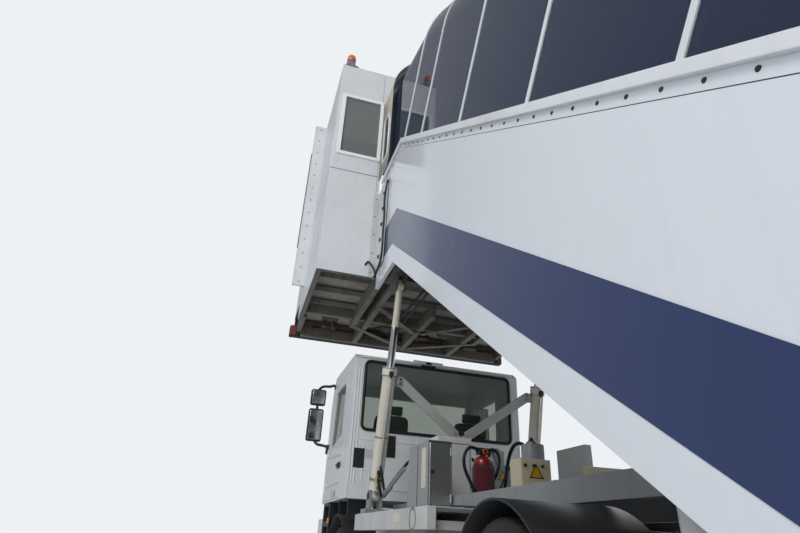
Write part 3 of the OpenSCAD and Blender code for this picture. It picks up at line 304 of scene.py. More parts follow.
cab_enamel = enamel("cab_enamel_white", "#e6e8ea", "#c9c8c3", roughness=0.24, coat=0.45)
black_plastic = moulded("grained_black_plastic", "#1d1f21", 0.48)
cab_tint = pane("cab_tinted_glass", "#454b47", 0.84, "#e9ece8")
dress("cab_shell", cab_enamel, 0.012, 3)
dress("cab_glass", cab_tint)
dress("dashboard", black_plastic, 0.012, 3)
dress("grille_panel", black_plastic, 0.004)
dress("front_bumper", cab_enamel, 0.014, 3)
dress("headlamps", pane("lamp_lens", "#dfe6ea", 0.25), 0.006)
hands = {"left": 1, "right": -1}
for name in hands:
    dress("door_" + name, cab_enamel, 0.005)
    dress("door_glass_" + name, cab_tint)
dress("mudguards", black_plastic, 0.003)
dress("cab_steps", black_plastic, 0.008)


def hose(name, body, material, radius, *runs, closed=False):
    """Bends hoses, cables, tubes or seals of one radius through their points."""
    curve = bpy.data.curves.new(name, "CURVE")
    curve.dimensions = "3D"
    curve.bevel_depth = radius / 1000
    curve.bevel_resolution = 3
    curve.resolution_u = 8
    curve.use_fill_caps = True
    for run in runs:
        line = curve.splines.new("POLY" if closed else "NURBS")
        line.points.add(len(run) - 1)
        for point, place in zip(line.points, run):
            point.co = (*at(*place), 1)
        line.use_cyclic_u = closed
        if not closed:
            line.order_u = min(4, len(run))
            line.use_endpoint_u = True
    curve.materials.append(material)
    made = bpy.data.objects.new(name, curve)
    scene.collection.objects.link(made)
    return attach(made, body)


def rounded(x, y, z, radius, steps=6):
    """Points of an upright rounded rectangle across the truck."""
    points = []
    for cy, cz, turn in ((y[1], z[1], 0), (y[0], z[1], 90), (y[0], z[0], 180), (y[1], z[0], 270)):
        my, mz = cy - radius * (1 if cy == y[1] else -1), cz - radius * (1 if cz == z[1] else -1)
        for k in range(steps + 1):
            a = math.radians(turn + 90 * k / steps)
            points.append((x, my + radius * math.cos(a), mz + radius * math.sin(a)))
    return points


rear_wall = 3777
seal_rubber = moulded("window_seal_rubber", "#141516", 0.62, 500.0, 0.2)
hose("rear_window_seal", "chassis", seal_rubber, 19, rounded(rear_wall - 3, (-945, 945), (1876, 2684), 60), closed=True)
pressings = bmesh.new()
for side in (-1, 1):
    for y, low, high in ((985, 1290, 2590), (1018, 1290, 2590), (1050, 1290, 2590), (905, 1330, 1700)):
        bar(pressings, (rear_wall, side * y, low), (rear_wall, side * y, high), 9, sides=12)
    block(pressings, (rear_wall - 8, rear_wall + 3), (side * 60, side * 840), (1240, 1264))
bar(pressings, (rear_wall + 5, -1010, 2735), (rear_wall + 5, 1010, 2735), 15, sides=20)
bar(pressings, (rear_wall, -1040, 1765), (rear_wall, 1040, 1765), 8, sides=12)
block(pressings, (rear_wall - 17, rear_wall + 1), (-40, 350), (2722, 2772))
for a, b in (((1056, 1150), (1056, 1420)), ((1056, 1420), (815, 1440)), ((815, 1440), (815, 1150))):
    bar(pressings, (rear_wall, *a), (rear_wall, *b), 7, sides=10)
fit("cab_rear_pressings", "chassis", cab_enamel, pressings, 0.003)
vents = bmesh.new()
block(vents, (3766, 3778), (530, 645), (1592, 1832))
for k in range(6):
    block(vents, (3758, 3768), (545, 630), (1618 + 36 * k, 1630 + 36 * k))
block(vents, (3768, 3776), (888, 1010), (1455, 1665))
block(vents, (3750, 3764), (60, 250), (2700, 2722))
bar(vents, (3752, 190, 2744), (3752, 120, 2744), 13, sides=16)
fit("cab_vents", "chassis", black_plastic, vents, 0.003)
plates = bmesh.new()
block(plates, (3770, 3776), (800, 878), (1565, 1660))
block(plates, (4420, 4620), (1079, 1084), (1185, 1260))
fit("blank_plates", "chassis", enamel("plate_enamel_pale", "#c9cbcd", "#9b9c9b", roughness=0.3), plates, 0.001)
for name, side in hands.items():
    handle = bmesh.new()
    block(handle, (4232, 4372), (side * 1092, side * 1101), (1512, 1540))
    for x in (4236, 4352):
        block(handle, (x, x + 16), (side * 1079, side * 1096), (1514, 1538))
    block(handle, (4216, 4388), (side * 1079, side * 1083), (1490, 1562))
    fit("door_handle_" + name, "door_" + name, black_plastic, handle, 0.005, 3)
    crease = bmesh.new()
    bar(crease, (4215, side * 1079, 1640), (5150, side * 1079, 1700), 6, sides=10)
    bar(crease, (4215, side * 1079, 1330), (5170, side * 1079, 1330), 6, sides=10)
    fit("door_crease_" + name, "door_" + name, cab_enamel, crease)
    lamp = bmesh.new()
    block(lamp, (4700, 4790), (side * 1054, side * 1070), (900, 965))
    lens = moulded("lamp_lens_orange_" + name, "#d8701c", 0.2, 200.0, 0.05)
    fit("side_lamp_" + name, "chassis", lens, lamp, 0.006, 3)

# Seats.
# Moulded foam under grey woven cloth on a black pedestal. The covers are sewn with a welt round the panels
# and a channel across, so that the middle of each panel crowns.
seat_cloth = cloth("seat_cloth_grey", "#3c4148")


def cushion(name, middle, half, lean, channels):
    """Crowned cushion in millimetres: half sizes, lean about Y in degrees, and the heights of its sewn channels."""
    crown, pull, channel_depth, welt_depth = 14, 9, 11, 8
    thick, short, long = sorted(range(3), key=lambda i: half[i])
    turn = Matrix.Rotation(math.radians(lean), 3, "Y")
    form = bmesh.new()
    bmesh.ops.create_cube(form, size=2)
    bmesh.ops.subdivide_edges(form, edges=form.edges[:], cuts=17, use_grid_fill=True)
    for v in form.verts:
        u = v.co.copy()
        size = sum(abs(c) ** 5 for c in u) ** 0.2
        place = Vector([c / size * h for c, h in zip(u, half)])
        place[thick] += math.copysign(crown * (1 - u[short] ** 2) * (1 - u[long] ** 2), u[thick])
        for i, j in ((short, long), (long, short)):
            place[i] -= math.copysign(pull * (1 - u[j] ** 2), u[i]) * abs(u[i]) ** 6
        sewn = sum(channel_depth * math.exp(-((place[long] - c) / 9) ** 2) for c in channels)
        sewn += sum(welt_depth * math.exp(-((u[short] - w) * half[short] / 8) ** 2) for w in (-0.78, 0.78))
        place[thick] -= math.copysign(sewn, u[thick]) * u[thick] ** 2
        place = turn @ place
        v.co = at(*(m + p for m, p in zip(middle, place)))
    made = fit(name, "chassis", seat_cloth, form)
    smooth = made.modifiers.new("smooth", "SUBSURF")
    smooth.levels = smooth.render_levels = 1
    return made


seat_y = 520
for name, side in hands.items():
    seat = cushion("seat_cushion_" + name, (4320, side * seat_y, 1540), (236, 232, 54), 0, (-70, 70))
    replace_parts(seat, "cab_seats")
    cushion("seat_back_" + name, (4080, side * seat_y, 1880), (52, 222, 250), -12, (-90, 60))
    cushion("head_rest_" + name, (3998, side * seat_y, 2170), (42, 128, 62), -12, ())
    post = bmesh.new()
    block(post, (4160, 4480), (side * seat_y - 150, side * seat_y + 150), (1197, 1420))
    block(post, (4110, 4530), (side * seat_y - 190, side * seat_y + 190), (1420, 1482))
    for y in (-60, 60):
        bar(post, (4030, side * seat_y + y, 2060), (4002, side * seat_y + y, 2140), 7, sides=10)
    fit("seat_pedestal_" + name, "chassis", black_plastic, post, 0.012, 3)

# Cab mirrors and wipers.
# Black moulded shells on bent steel tubes, with flat glass towards the back. The wipers are painted black steel.


def brushed(name, colour, roughness=0.3, grain=(60, 60, 2)):
    """Brushed sheet steel or aluminium. Fine scratches run one way and stretch its highlights."""
    material = new_material(name)
    place = add_node(material, "TexCoord").outputs["Object"]
    drawn = add_node(material, "Mapping", Vector=place, Scale=grain)
    scratch = add_node(material, "TexNoise", Vector=drawn.outputs[0], Scale=6.0, Detail=4.0)
    cloud = add_node(material, "TexNoise", Vector=place, Scale=2.4, Detail=5.0)
    dull = add_node(material, "MapRange", Value=scratch.outputs["Fac"],
                    i1=0.3, i2=0.7, i3=roughness - 0.07, i4=roughness + 0.12)
    dark = [c * 0.74 for c in linear(colour)[:3]] + [1]
    tone = add_node(material, "Mix", {"data_type": "RGBA"}, i0=cloud.outputs["Fac"], i6=linear(colour), i7=dark)
    relief = add_node(material, "Bump", Strength=0.02, Distance=0.0003, Height=scratch.outputs["Fac"])
    return lay(material, add_node(material, "BsdfPrincipled", Base_Color=tone.outputs[2], Metallic=1.0,
                                  Roughness=dull.outputs[0], Normal=relief.outputs[0]))


mirror_glass = brushed("mirror_glass", "#cfd6db", 0.1, (2, 2, 2))
for name, side in hands.items():
    shell = bmesh.new()
    block(shell, (5286, 5372), (side * 1176, side * 1388), (1925, 2372))
    block(shell, (5292, 5370), (side * 1166, side * 1384), (2418, 2648))
    case = fit("mirror_shell_" + name, "chassis", black_plastic, shell, 0.03, 5)
    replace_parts(case, "cab_mirrors")
    face = bmesh.new()
    block(face, (5282, 5290), (side * 1196, side * 1368), (1947, 2350))
    block(face, (5288, 5296), (side * 1188, side * 1362), (2440, 2626))
    fit("mirror_glass_" + name, "chassis", mirror_glass, face, 0.003)
    hose("mirror_arms_" + name, "chassis", black_plastic, 19,
         [(5150, side * 1066, 2672), (5170, side * 1090, 2700), (5230, side * 1130, 2676), (5280, side * 1180, 2700),
          (5322, side * 1250, 2690), (5330, side * 1280, 2640)],
         [(5235, side * 1076, 1850), (5248, side * 1120, 1868), (5290, side * 1180, 1880), (5322, side * 1240, 1890),
          (5330, side * 1260, 1940)],
         [(5330, side * 1275, 2360), (5330, side * 1275, 2390), (5330, side * 1275, 2430)])
    feet = bmesh.new()
    block(feet, (5118, 5172), (side * 1052, side * 1082), (2630, 2690))
    block(feet, (5200, 5262), (side * 1069, side * 1104), (1760, 1880))
    fit("mirror_feet_" + name, "chassis", black_plastic, feet, 0.006, 3)
    hose("wiper_" + name, "chassis", black_plastic, 8,
         [(5424, side * 700, 1775), (5418, side * 560, 1850), (5392, side * 330, 1990), (5380, side * 250, 2060)])

# Deck and its equipment.
# White painted deck beams behind the cab carry a stainless cabinet, white and cream steel boxes, the oil tank
# and a red extinguisher.


stainless = brushed("brushed_stainless", "#d2d4d3", 0.33, (2, 60, 60))
deck_enamel = enamel("deck_enamel_white", "#c9cac8", "#8f8c84", roughness=0.35, runs=0.6)
dress("side_deck", deck_enamel, 0.004)
dress("control_cabinet", stainless, 0.003)
dress("service_cabinet", enamel("cabinet_enamel_white", "#d8d9d8", "#a9a69c", roughness=0.35), 0.006)
dress("electric_box", enamel("box_enamel_cream", "#d9cfb4", "#a8a08c", roughness=0.38), 0.004)
dress("hydraulic_unit", enamel("tank_enamel_grey", "#9aa0a2", "#74726c", roughness=0.4), 0.006)
dress("jack_housings", deck_enamel, 0.003)
chrome = brushed("ground_hard_chrome", "#d6d8da", 0.12, (20, 20, 3))
dress("front_jacks", chrome, 0.002)
dress("rear_jacks", chrome, 0.002)


def turned(form, outline, centre, axis, steps=48):
    """Spins an outline of (radius, distance along the axis), in millimetres, round an axis through centre."""
    along = Vector(axis)
    side = along.orthogonal().normalized()
    rim = [form.verts.new(at(*centre) + side * (r / 1000) + along * (h / 1000)) for r, h in outline]
    edges = [form.edges.new(pair) for pair in zip(rim, rim[1:])]
    bmesh.ops.spin(form, geom=rim + edges, cent=at(*centre), axis=along, angle=2 * math.pi, steps=steps, use_merge=True)
    bmesh.ops.remove_doubles(form, verts=form.verts, dist=0.00001)
    bmesh.ops.recalc_face_normals(form, faces=form.faces)


rubber = moulded("hose_rubber_black", "#161617", 0.5, 300.0, 0.2)
seams = bmesh.new()
for z in (990, 1464):
    block(seams, (1757, 1760), (640, 820), (z, z + 4))
block(seams, (1780, 2250), (829, 832), (1000, 1004))
block(seams, (2012, 2016), (829, 832), (1000, 1460))
for z in (1090, 1580):
    block(seams, (2396, 2400), (196, 504), (z, z + 3))
for y in (196, 501):
    block(seams, (2396, 2400), (y, y + 3), (1090, 1583))
fit("cabinet_seams", "chassis", seal_rubber, seams)
doors = bmesh.new()
block(doors, (1752, 1760), (642, 818), (1000, 1460))
for z in (1060, 1400):
    bar(doors, (1754, 640, z - 30), (1754, 640, z + 30), 8, sides=14)
fit("control_cabinet_door", "chassis", stainless, doors, 0.003)
knobs = bmesh.new()
bar(knobs, (1752, 800, 1240), (1728, 800, 1240), 17, 15, 20)
bar(knobs, (2400, 470, 1450), (2366, 470, 1450), 20, 17, 20)
for y in (230, 300, 370):
    bar(knobs, (1250, y - 100, 1280), (1236, y - 100, 1280), 11, sides=16)
fit("cabinet_knobs", "chassis", black_plastic, knobs, 0.002)
strip = bmesh.new()
block(strip, (1812, 1912), (829.5, 831), (1130, 1430))
block(strip, (1484, 1620), (1130, 1131), (866, 926))
fit("blank_cabinet_strip", "chassis", enamel("strip_enamel_cream", "#d9d3bd", "#b5ad95", roughness=0.4), strip)

# Warning triangles.
# Printed film on the boxes, left blank: a yellow triangle with a black edge.
film_yellow = enamel("film_yellow", "#d9a514", "#b08a1c", roughness=0.35, coat=0.3)
film_black = enamel("film_black", "#191919", "#2b2a28", roughness=0.4, coat=0.2)
for k, (x, y, z, size) in enumerate(((1249, 180, 1230, 120), (2379, -120, 1320, 100)), 1):
    for name, film, half, lift in (("edge", film_black, 0.5 * size, 1), ("field", film_yellow, 0.39 * size, 1.6)):
        sign = bmesh.new()
        corners = [sign.verts.new(at(x - lift, y + across, z + over))
                   for across, over in ((half, -0.577 * half), (-half, -0.577 * half), (0, 1.155 * half))]
        bmesh.ops.extrude_face_region(sign, geom=[sign.faces.new(corners)])
        for v in sign.verts[3:]:
            v.co.x += 0.0005
        bmesh.ops.recalc_face_normals(sign, faces=sign.faces[:])
        fit("warning_triangle_%s_%d" % (name, k), "chassis", film, sign)

# Fire extinguisher.
# Drawn steel bottle in red enamel, in a clamp on the deck. It has a black valve with an orange ring and a rubber hose.
extinguisher_enamel = enamel("extinguisher_enamel_red", "#8e1419", "#4d0d10", roughness=0.24, coat=0.6)
bottle_x, bottle_y, bottle_foot = 2000, 250, 1068
bottle = bmesh.new()
turned(bottle, [(0, 0), (74, 0), (82, 6), (84, 18), (84, 300), (80, 322), (66, 342), (44, 355), (26, 361), (24, 372),
                (0, 372)], (bottle_x, bottle_y, bottle_foot), (0, 0, 1), 56)
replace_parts(fit("extinguisher_bottle", "chassis", extinguisher_enamel, bottle), "fire_extinguisher")
valve = bmesh.new()
turned(valve, [(0, 0), (22, 0), (25, 6), (25, 30), (18, 36), (0, 36)], (bottle_x, bottle_y, 1438), (0, 0, 1), 28)
block(valve, (1985, 2015), (190, 312), (1468, 1482))
block(valve, (1990, 2010), (196, 330), (1486, 1497))
for z in (1150, 1330):
    turned(valve, [(84, 0), (88, 0), (88, 26), (84, 26), (84, 0)], (bottle_x, bottle_y, z), (0, 0, 1), 56)
block(valve, (1964, 2036), (208, 300), (1440, 1478))
fit("extinguisher_valve", "chassis", black_plastic, valve, 0.006, 3)
ring = bmesh.new()
turned(ring, [(15, 0), (26, 4), (26, 14), (15, 18), (15, 0)], (1962, bottle_y, 1462), (-1, 0, 0), 28)
fit("extinguisher_ring", "chassis", moulded("ring_plastic_orange", "#b4581f", 0.35, 300.0, 0.1), ring)
hose("extinguisher_hoses", "chassis", rubber, 14,
     [(1996, 290, 1470), (1990, 353, 1510), (1990, 425, 1470), (1990, 440, 1332), (1988, 384, 1236), (1976, 352, 1150),
      (1972, 330, 1108)],
     [(2004, 214, 1470), (1995, 170, 1500), (1990, 112, 1480), (1990, 96, 1400), (1996, 120, 1300), (2004, 160, 1240)])
sleeve_height = 0.272
sleeve = bmesh.new()
around = []
for k in range(57):
    a = 2 * math.pi * k / 56
    out = 89 + 4 * max(0.0, math.cos(3 * a)) ** 2
    heights = [1074 + 1000 * sleeve_height * h / 8 for h in range(9)]
    heights[8] -= 5 * math.cos(5 * a)
    x, y = bottle_x + out * math.cos(a), bottle_y + out * math.sin(a)
    around.append([sleeve.verts.new(at(x, y, z)) for z in heights])
laid = 0.0
for a, b in zip(around, around[1:]):
    for k in range(8):
        laid += sleeve.faces.new((a[k], b[k], b[k + 1], a[k + 1])).calc_area()
cover = fit("extinguisher_sleeve", "chassis", cloth("sleeve_cloth_maroon", "#5d1220", 0.003), sleeve)
skin = cover.modifiers.new("thickness", "SOLIDIFY")
skin.thickness = 0.002

# Hydraulic hoses, valves and fittings on the deck.
# Black rubber hoses in zinc-plated fittings run between the tank, the filter, the electric box and the legs.
fittings = brushed("zinc_plated_steel", "#a7a48f", 0.35)
hose("deck_hoses", "chassis", rubber, 15,
     [(1600, 0, 1480), (1600, 0, 1540), (1660, -30, 1560), (1760, -60, 1470), (1800, -70, 1250), (1810, -80, 1100)],
     [(1600, 60, 1470), (1640, 90, 1520), (1760, 110, 1500), (1900, 90, 1300), (2000, 60, 1120), (2200, 20, 1085),
      (2390, 0, 1120)],
     [(2640, -180, 1570), (2600, -120, 1600), (2500, -60, 1560), (2420, 20, 1430), (2380, 60, 1230), (2370, 80, 1090)],
     [(2500, -300, 1420), (2500, -340, 1480), (2560, -420, 1500), (2700, -560, 1420), (2900, -700, 1280),
      (3080, -780, 1190)],
     [(2500, 40, 1420), (2520, 120, 1470), (2660, 380, 1660), (2860, 640, 1500), (3050, 740, 1260), (3130, 790, 1190)])
hose("deck_cables", "chassis", rubber, 7,
     [(1420, 180, 1300), (1500, 200, 1340), (1620, 220, 1300), (1700, 240, 1150), (1760, 300, 1075), (1800, 600, 1080),
      (1850, 700, 985)],
     [(900, 560, 960), (1050, 700, 962), (1300, 760, 962), (1500, 740, 962), (1700, 700, 975)],
     [(950, 720, 962), (1000, 900, 962), (1150, 960, 962), (1290, 900, 962), (1240, 800, 962), (1100, 820, 962),
      (1060, 900, 964), (1160, 980, 964)])
valves = bmesh.new()
for y in (-300, -220, -140, -60):
    block(valves, (2300, 2376), (y - 26, y + 26), (1120, 1190))
    bar(valves, (2338, y, 1190), (2338, y, 1240), 15, sides=6)
    bar(valves, (2300, y, 1155), (2262, y, 1155), 13, sides=6)
for x, y, z in ((1600, 0, 1488), (2640, -180, 1580)):
    turned(valves, [(0, 0), (44, 0), (48, 6), (48, 24), (40, 30), (0, 30)], (x, y, z - 4), (0, 0, 1), 32)
fit("deck_valves", "chassis", fittings, valves, 0.003)
deck_top = 950
rib_z = deck_top + 0.5
ribs = bmesh.new()
for side in (-1, 1):
    for x in range(930, 2880, 75):
        for k in range(5):
            y = 660 + 80 * k
            lean = 14 if (k + x // 75) % 2 else -14
            bar(ribs, (x - 14, side * (y - lean), rib_z), (x + 14, side * (y + lean), rib_z), 3, sides=6)
fit("deck_tread_pattern", "chassis", subframe_paint, ribs)
bolts = bmesh.new()
for side in (-1, 1):
    for x in (930, 2870):
        bar(bolts, (x, side * 1100, deck_top - 10), (x, side * 1100, deck_top + 12), 12, sides=6)
    turned(bolts, [(54, 0), (60, 2), (66, 2), (72, 0)], (1180, side * 1130, 880), (0, side, 0), 48)
fit("deck_bolts", "chassis", fittings, bolts, 0.001)

# Stairs.
# A welded steel frame between two long side panels of white sheet with a blue stripe,
# ribbed aluminium treads and a canopy of dark sheet on aluminium hoops.
frame_paint = enamel("stair_frame_paint_grey", "#605e58", "#3b3833", roughness=0.45, coat=0.1, runs=0.5)
panel_enamel = enamel("panel_enamel_white", "#dfe4ea", "#c4cad1", roughness=0.12, coat=0.7, peel=0.04, runs=0.15,
                      cloud_size=2.5)
stripe_film = enamel("stripe_film_blue", "#22335f", "#2e3f6b", roughness=0.16, coat=0.6, peel=0.03, runs=0.12,
                     cloud_size=2.5)
tread_metal = brushed("ribbed_aluminium", "#9a9d9e", 0.38, (3, 40, 40))
hoop_metal = enamel("hoop_enamel_pale", "#dfe3e6", "#b8b8b2", roughness=0.3)
dress("stair_frame", frame_paint, 0.004)
dress("steps", tread_metal, 0.002)
dress("side_panels", panel_enamel, 0.003)
dress("side_stripes", stripe_film)
dress("handrails", stainless)
dress("canopy_frame", hoop_metal, 0.004)
dress("canopy_glazing", pane("canopy_tinted_sheet", "#27334f", 0.3))

# Trim and screws of the stairs.
# Plated screws hold the panels below the top rail and the end strip of the landing. A butyl bead fills each
# panel joint, and a black cable and a lamp strip run inside under the rail.
floor_top, top_nose, rise = 3800, 2278, 190
slope = math.tan(math.radians(35.84))
panel_face = 1069


def over_slope(x, over):
    """Height at x, so far over the line of the tread noses."""
    return floor_top + slope * (x - top_nose) + over


screws = bmesh.new()
joints = bmesh.new()
for side in (-1, 1):
    for x in range(-2620, 2240, 162):
        z = over_slope(x, 1002)
        bar(screws, (x, side * panel_face, z), (x, side * (panel_face + 5), z), 11, 9, 10)
    for x in range(2230, 2960, 120):
        bar(screws, (x, side * panel_face, 4748), (x, side * (panel_face + 5), 4748), 8, 6, 10)
    for z in range(3640, 4720, 215):
        bar(screws, (3008, side * 1077, z), (3008, side * 1084, z), 11, sides=6)
    bead = side * (panel_face + 0.4)
    bar(joints, (-2700, bead, over_slope(-2700, 958)), (2196, bead, 4700), 2.2, sides=6)
    bar(joints, (2196, bead, 4700), (2980, bead, 4700), 2.2, sides=6)
fit("panel_screws", "stairs", black_plastic, screws)
fit("panel_joint_beads", "stairs", seal_rubber, joints)
ends = bmesh.new()
for side in (-1, 1):
    block(ends, (2976, 3030), (side * panel_face, side * (panel_face + 9)), (3560, 4770))
fit("landing_end_strips", "stairs", hoop_metal, ends, 0.003)
nosing = bmesh.new()
for k in range(18):
    x, z = top_nose - k * rise / slope, floor_top - k * rise
    block(nosing, (x + 2, x + 30), (-1000, 1000), (z - 4, z + 2.5))
fit("tread_nosings", "stairs", moulded("nosing_rubber_black", "#1c1c1d", 0.7, 500.0, 0.4), nosing, 0.001)
lamps = bmesh.new()
for side in (-1, 1):
    for x in range(-2300, 2000, 700):
        z = over_slope(x, 320)
        block(lamps, (x, x + 180), (side * 1022, side * 1030), (z, z + 60))
fit("stair_lamps", "stairs", moulded("lamp_lens_pale", "#dcdcd2", 0.3, 200.0, 0.05), lamps, 0.004)
hose("stair_cables", "stairs", rubber, 9,
     [(2300, 890, 3372), (1700, 900, 3130), (700, 900, 2400), (-300, 900, 1680), (-900, 900, 1250)],
     [(2330, -890, 3372), (1700, -900, 3130), (700, -900, 2400), (-300, -900, 1680), (-900, -900, 1250)],
     [(2300, 200, 3600), (2500, 240, 3540), (2700, 300, 3520), (2900, 340, 3560), (2950, 350, 3640)])

# Platform and cabin.
# A ribbed sheet floor on welded beams, white sandwich panel walls and roof, plain glass, and a rubber buffer
# bolted to the front edge of the floor.
cabin_enamel = enamel("cabin_enamel_white", "#dfe2e5", "#c2c4c4", roughness=0.26, coat=0.35, runs=0.3)
dress("platform_floor", tread_metal, 0.002)
dress("cabin_walls", cabin_enamel, 0.004)
dress("cabin_windows", pane("cabin_tinted_glass", "#8a8d8c", 0.5, "#eceeed"))
dress("cabin_roof", cabin_enamel, 0.005)
dress("front_buffer", moulded("buffer_rubber_black", "#17181a", 0.6), 0.015, 3)

# Underside of the platform.
# Welded side beams, wide pressed floor bands, long beams and flat braces, in grey paint with streaks of grime, painted
# dark olive as shade under the platform. The white wall sheet runs down over the rear and side beams.


def flat(form, a, b, wide, thick):
    """Adds a flat bar that lies between two points."""
    start, end = at(*a), at(*b)
    over = Vector((0, 0, thick / 2000))
    across = Vector((0, 0, wide / 2000)).cross((end - start).normalized())
    for corner in bmesh.ops.create_cube(form, size=2)["verts"]:
        corner.co = (start if corner.co.x < 0 else end) + across * corner.co.y + over * corner.co.z


welded = bmesh.new()
for side in (-1, 1):
    block(welded, (3154, 4905), (side * 1686, side * 1746), (3500, 3760))
    block(welded, (4905, 5600), (side * 1636, side * 1696), (3560, 3760))
    block(welded, (3214, 4905), (side * 925, side * 1000), (3500, 3690))
    block(welded, (3214, 5540), (side * 745, side * 820), (3500, 3690))
    flat(welded, (4000, side * 790, 3498), (4770, side * 62, 3498), 80, 10)
    flat(welded, (5470, side * 55, 3498), (4840, side * 960, 3498), 80, 10)
block(welded, (3154, 3214), (-1686, 1686), (3500, 3760))
block(welded, (5540, 5600), (-1636, 1636), (3500, 3760))
block(welded, (4640, 4720), (-1686, 1686), (3540, 3690))
block(welded, (4050, 4640), (-40, 40), (3500, 3690))
block(welded, (4720, 5540), (-40, 40), (3500, 3690))
for y in (-800, -300, 300, 800):
    for cheek in (y - 58, y + 58):
        block(welded, (2985, 3156), (cheek - 14, cheek + 14), (3686, 3752))
    bar(welded, (2990, y - 74, 3720), (2990, y + 74, 3720), 18, sides=24)
# Both colours are darkened as painted shade under the platform; the cloudy, streaked mix between them is grime.
olive = enamel("platform_paint_dirty", "#77736a", "#3a352d", roughness=0.5, coat=0.05, runs=0.7, cloud_size=0.4)
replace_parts(fit("platform_beams", "platform", olive, welded, 0.005), "platform_frame")
bands = bmesh.new()
for x in range(3285, 5078, 448):
    y = 1636 if x + 225 > 4905 else 1686
    block(bands, (x, x + 225), (-y, y), (3694, 3760))
    for lip in (x, x + 209):
        block(bands, (lip, lip + 16), (-y, y), (3684, 3694))
# Both colours are darkened as painted shade under the platform; the cloudy, streaked mix between them is wear and
# grime.
band_paint = enamel("band_paint_wear_and_shade", "#97938a", "#554d40", roughness=0.48, coat=0.05, runs=0.7, cloud_size=0.3)
fit("floor_bands", "platform", band_paint, bands, 0.004)
works = bmesh.new()
for x, y, z, size in ((4760, 1180, 3560, 150), (4850, 250, 3560, 180), (5080, -300, 3570, 160), (5200, 1150, 3580, 140),
                      (4780, -560, 3560, 130), (5330, 420, 3590, 120), (5250, -1200, 3580, 150)):
    block(works, (x, x + size), (y, y + size * 1.5), (z, z + 120))
    bar(works, (x + size, y + size * 0.7, z + 60), (x + size + 130, y + size * 0.7, z + 60), size * 0.22, sides=20)
    block(works, (x - 20, x + size + 20), (y + size * 0.4, y + size * 0.6), (z + 110, 3690))
bar(works, (4800, -900, 3600), (4800, 900, 3600), 38, sides=24)
bar(works, (5430, -1500, 3610), (5430, 1500, 3610), 30, sides=24)
# Both browns are darkened as painted shade under the platform; the cloudy, streaked mix between them is grime.
works_paint = enamel("machinery_paint_rusty", "#4a3a2e", "#251d18", roughness=0.62, coat=0.0, runs=0.8, cloud_size=0.15)
fit("slide_machinery", "platform", works_paint, works, 0.006)
hose("platform_hoses", "platform", rubber, 14,
     [(3190, 300, 3560), (3400, 330, 3520), (3800, 300, 3515), (4200, 330, 3530), (4600, 290, 3520), (4850, 300, 3580)],
     [(3190, 360, 3560), (3500, 400, 3525), (4000, 380, 3515), (4500, 430, 3525), (4900, 560, 3560), (5080, 620, 3600)],
     [(4860, 1300, 3600), (4950, 1240, 3540), (5100, 1200, 3530), (5300, 1260, 3560), (5420, 1330, 3600)],
     [(4700, -560, 3600), (4900, -620, 3530), (5100, -540, 3525), (5260, -420, 3560)])
skirts = bmesh.new()
for side in (-1, 1):
    block(skirts, (3146, 3149), (side * 1092, side * 1753), (3500, 3806))
    block(skirts, (3149, 4905), (side * 1751, side * 1754), (3500, 3806))
fit("cabin_skirts", "platform", cabin_enamel, skirts)

# Bolted plates and cables beside the landing.
# White steel plates close the joint between the landing and the cabin, each on a row of large bolts, and a bundle
# of black cables hangs over them to the platform's underside.
wear = bmesh.new()
for side in (-1, 1):
    block(wear, (2700, 3150), (side * 1080, side * 1087), (3510, 4690))
    block(wear, (3142, 3150), (side * 1087, side * 1150), (3510, 4690))
plate_enamel = enamel("plate_enamel_white", "#c9ccce", "#a2a19c", roughness=0.34, runs=0.5)
fit("bolted_side_plates", "platform", plate_enamel, wear, 0.002)
plugs = bmesh.new()
for side in (-1, 1):
    for x, z in ((2830, 4496), (2850, 4289), (2867, 4076), (2890, 3875), (2907, 3657)):
        bar(plugs, (x, side * 1086, z), (x, side * 1104, z), 21, 18, 6)
        bar(plugs, (x, side * 1086, z), (x, side * 1091, z), 30, sides=20)
    for k in range(5):
        bar(plugs, (3146, side * 1118, 3560 + 260 * k), (3136, side * 1118, 3560 + 260 * k), 9, sides=6)
bolt_steel = enamel("bolt_steel_dark", "#4a4845", "#2f2820", roughness=0.5, coat=0.0)
fit("side_plate_bolts", "platform", bolt_steel, plugs, 0.002)
for name, side in hands.items():
    hose("side_plate_cable_" + name, "platform", rubber, 12,
         [(2690, side * 1094, 4600), (2740, side * 1096, 4480), (2790, side * 1100, 4390), (2730, side * 1100, 4200),
          (2716, side * 1100, 4040), (2740, side * 1098, 3900), (2712, side * 1098, 3740), (2716, side * 1100, 3600),
          (2760, side * 1100, 3480), (2900, side * 1110, 3440)],
         [(3144, side * 1190, 3640), (3138, side * 1170, 3700), (3132, side * 1140, 3690), (3080, side * 1110, 3600),
          (2990, side * 1104, 3520), (2960, side * 1100, 3440)])

# Collar between the canopy and the cabin.
# A tunnel of beige coated sheet on the rear wall of the cabin, which the canopy's front hoop stands in. It has a small
# window in a white frame on each side.
sleeve_side, sleeve_turn, sleeve_radius, sleeve_spring = 1112, 404, 708, 6066
arch_line = [(-sleeve_side, 4900), (-sleeve_side, sleeve_spring)]
for k in range(1, 25):
    a = math.radians(180 - 180 * k / 24)
    centre = sleeve_turn * ((k > 12) - (k < 12))
    arch_line.append((centre + sleeve_radius * math.cos(a), sleeve_spring + sleeve_radius * math.sin(a)))
arch_line.append((sleeve_side, 4900))
tunnel = bmesh.new()
line = [tunnel.verts.new(at(2655, y, z)) for y, z in arch_line]
drawn = bmesh.ops.extrude_edge_only(tunnel, edges=[tunnel.edges.new(pair) for pair in zip(line, line[1:])])["geom"]
bmesh.ops.translate(tunnel, verts=[part for part in drawn if isinstance(part, bmesh.types.BMVert)], vec=(0.492, 0, 0))
